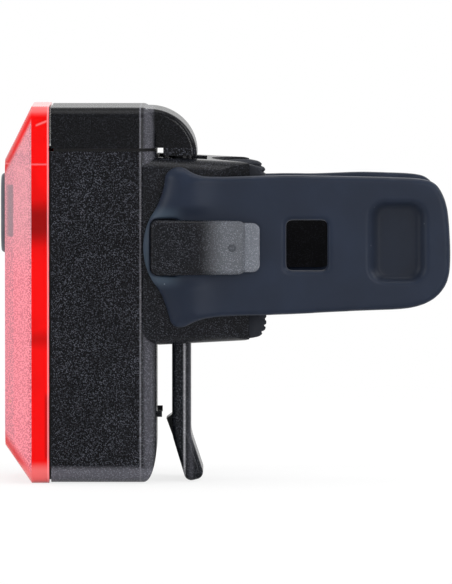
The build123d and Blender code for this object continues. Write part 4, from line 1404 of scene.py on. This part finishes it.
@dataclass
class Studio:
    """Floor, backdrop light, lamps and the camera at the photograph's place, sizes in metres.

    The shadow fades out over its step. The surrounding light is dim on the camera's side, and
    stronger by its step behind the object, where the white backdrop stands.
    """

    image_width: int = 452
    pixels_per_mm: float = 1 / 0.165
    camera_at: Triple = (-0.010725, -1.5, 0.0706)
    looks_at: Triple = (-0.013035, 0.0, -0.00728)
    sensor_width: float = 36.0
    clip: Span = (0.05, 20.0)
    floor_size: float = 60.0
    floor_colour: Colour = (0.9, 0.9, 0.9)
    shadow: Step = Step(0.08, 0.24, 0.2)
    front_light: float = 0.1
    rear_light: Step = Step(-0.35, 0.25, 0.9)
    lamps: tuple[Lamp, ...] = (
        Lamp("top_softbox", (0.0, -0.25, 1.2), (0.8, 0.8), 6.0),
        Lamp("left_softbox", (-1.2, -0.75, 0.35), (0.6, 0.6), 6.0),
        Lamp("right_strip", (0.42, -1.45, 0.1), (0.16, 1.1), 12.0),
        Lamp("right_softbox", (1.1, -0.3, 0.75), (0.7, 0.7), 10.0),
    )

    def camera(self) -> None:
        """Places the camera where the photograph was taken from."""
        data = bpy.data.cameras.new("photo_camera")
        camera = bpy.data.objects.new("photo_camera", data)
        bpy.context.scene.collection.objects.link(camera)
        camera.location = self.camera_at
        way = Vector(self.looks_at) - Vector(self.camera_at)
        camera.rotation_euler = way.to_track_quat("-Z", "Y").to_euler()
        distance = abs(self.camera_at[1]) / MM
        data.sensor_fit = "HORIZONTAL"
        data.sensor_width = self.sensor_width
        data.lens = self.pixels_per_mm * distance / self.image_width * self.sensor_width
        data.clip_start, data.clip_end = self.clip
        bpy.context.scene.camera = camera

    def background_rays(self, graph: Graph) -> Socket:
        """Mask of the rays that see the white background.

        Args:
            graph: the material's or the world's graph.

        Returns:
            The mask, which is 1 for camera, glossy and transmission rays.
        """
        rays = graph.add("LightPath").outputs
        mirrored = graph.most(rays["Is Glossy Ray"], rays["Is Transmission Ray"])
        return graph.most(rays["Is Camera Ray"], mirrored)

    def floor(self) -> None:
        """Lays the pale floor: white to the camera, with the object's soft shadow on it."""
        shape = bmesh.new()
        bmesh.ops.create_grid(shape, x_segments=1, y_segments=1, size=self.floor_size / 2)
        bmesh.ops.translate(shape, verts=shape.verts, vec=(0, 0, cad_box[0][2]))
        floor = new_piece("floor", shape)
        surface = Surface("floor_white", "MixShader")
        matt = surface.add("BsdfDiffuse")
        matt.inputs["Color"].default_value = (*self.floor_colour, 1.0)
        length = surface.add("VectorMath", operation="LENGTH")
        surface.link(surface.place(), length.inputs[0])
        faded = self.shadow.mask(surface, length.outputs["Value"])
        white = surface.plus(faded, 1 - self.shadow.share)
        surface.set(0, surface.times(white, self.background_rays(surface)))
        surface.set(1, matt.outputs[0])
        surface.set(2, surface.add("Emission").outputs[0])
        floor.data.materials.append(surface.material)

    def world(self) -> None:
        """Sets the surrounding light, which the camera sees as plain white."""
        world = bpy.data.worlds.new("studio_world")
        bpy.context.scene.world = world
        world.use_nodes = True
        world.node_tree.nodes.clear()
        graph = Graph(world.node_tree)
        way = graph.add("SeparateXYZ")
        graph.link(graph.add("TexCoord").outputs["Generated"], way.inputs[0])
        behind = self.rear_light.mask(graph, way.outputs["Y"])
        level = graph.add("Mix", data_type="FLOAT")
        graph.link(self.background_rays(graph), level.inputs["Factor"])
        graph.link(graph.plus(behind, self.front_light), level.inputs[2])
        level.inputs[3].default_value = 1.0
        light = graph.add("Background")
        light.inputs["Color"].default_value = (1.0, 1.0, 1.0, 1.0)
        graph.link(level.outputs[0], light.inputs["Strength"])
        output = graph.add("OutputWorld")
        graph.link(light.outputs[0], output.inputs["Surface"])

    def build(self) -> None:
        """Sets up floor, world, lamps, camera and the view transform."""
        self.floor()
        self.world()
        for lamp in self.lamps:
            lamp.build()
        self.camera()
        bpy.context.scene.view_settings.view_transform = "Standard"


def main() -> None:
    """Dresses the frame, builds the pieces and the studio, and reports each step."""
    logging.basicConfig(level=logging.INFO, format="%(message)s")
    finishes = Finishes()
    dress_cad_nodes(finishes)
    StrapArm(Side.NEAR).finish(finishes)
    StrapArm(Side.FAR, droop=0.85, shortening=0.5).finish(finishes)
    BracketPad().finish(finishes)
    RubberButton().finish(finishes)
    Studio().build()


if __name__ == "__main__":
    main()
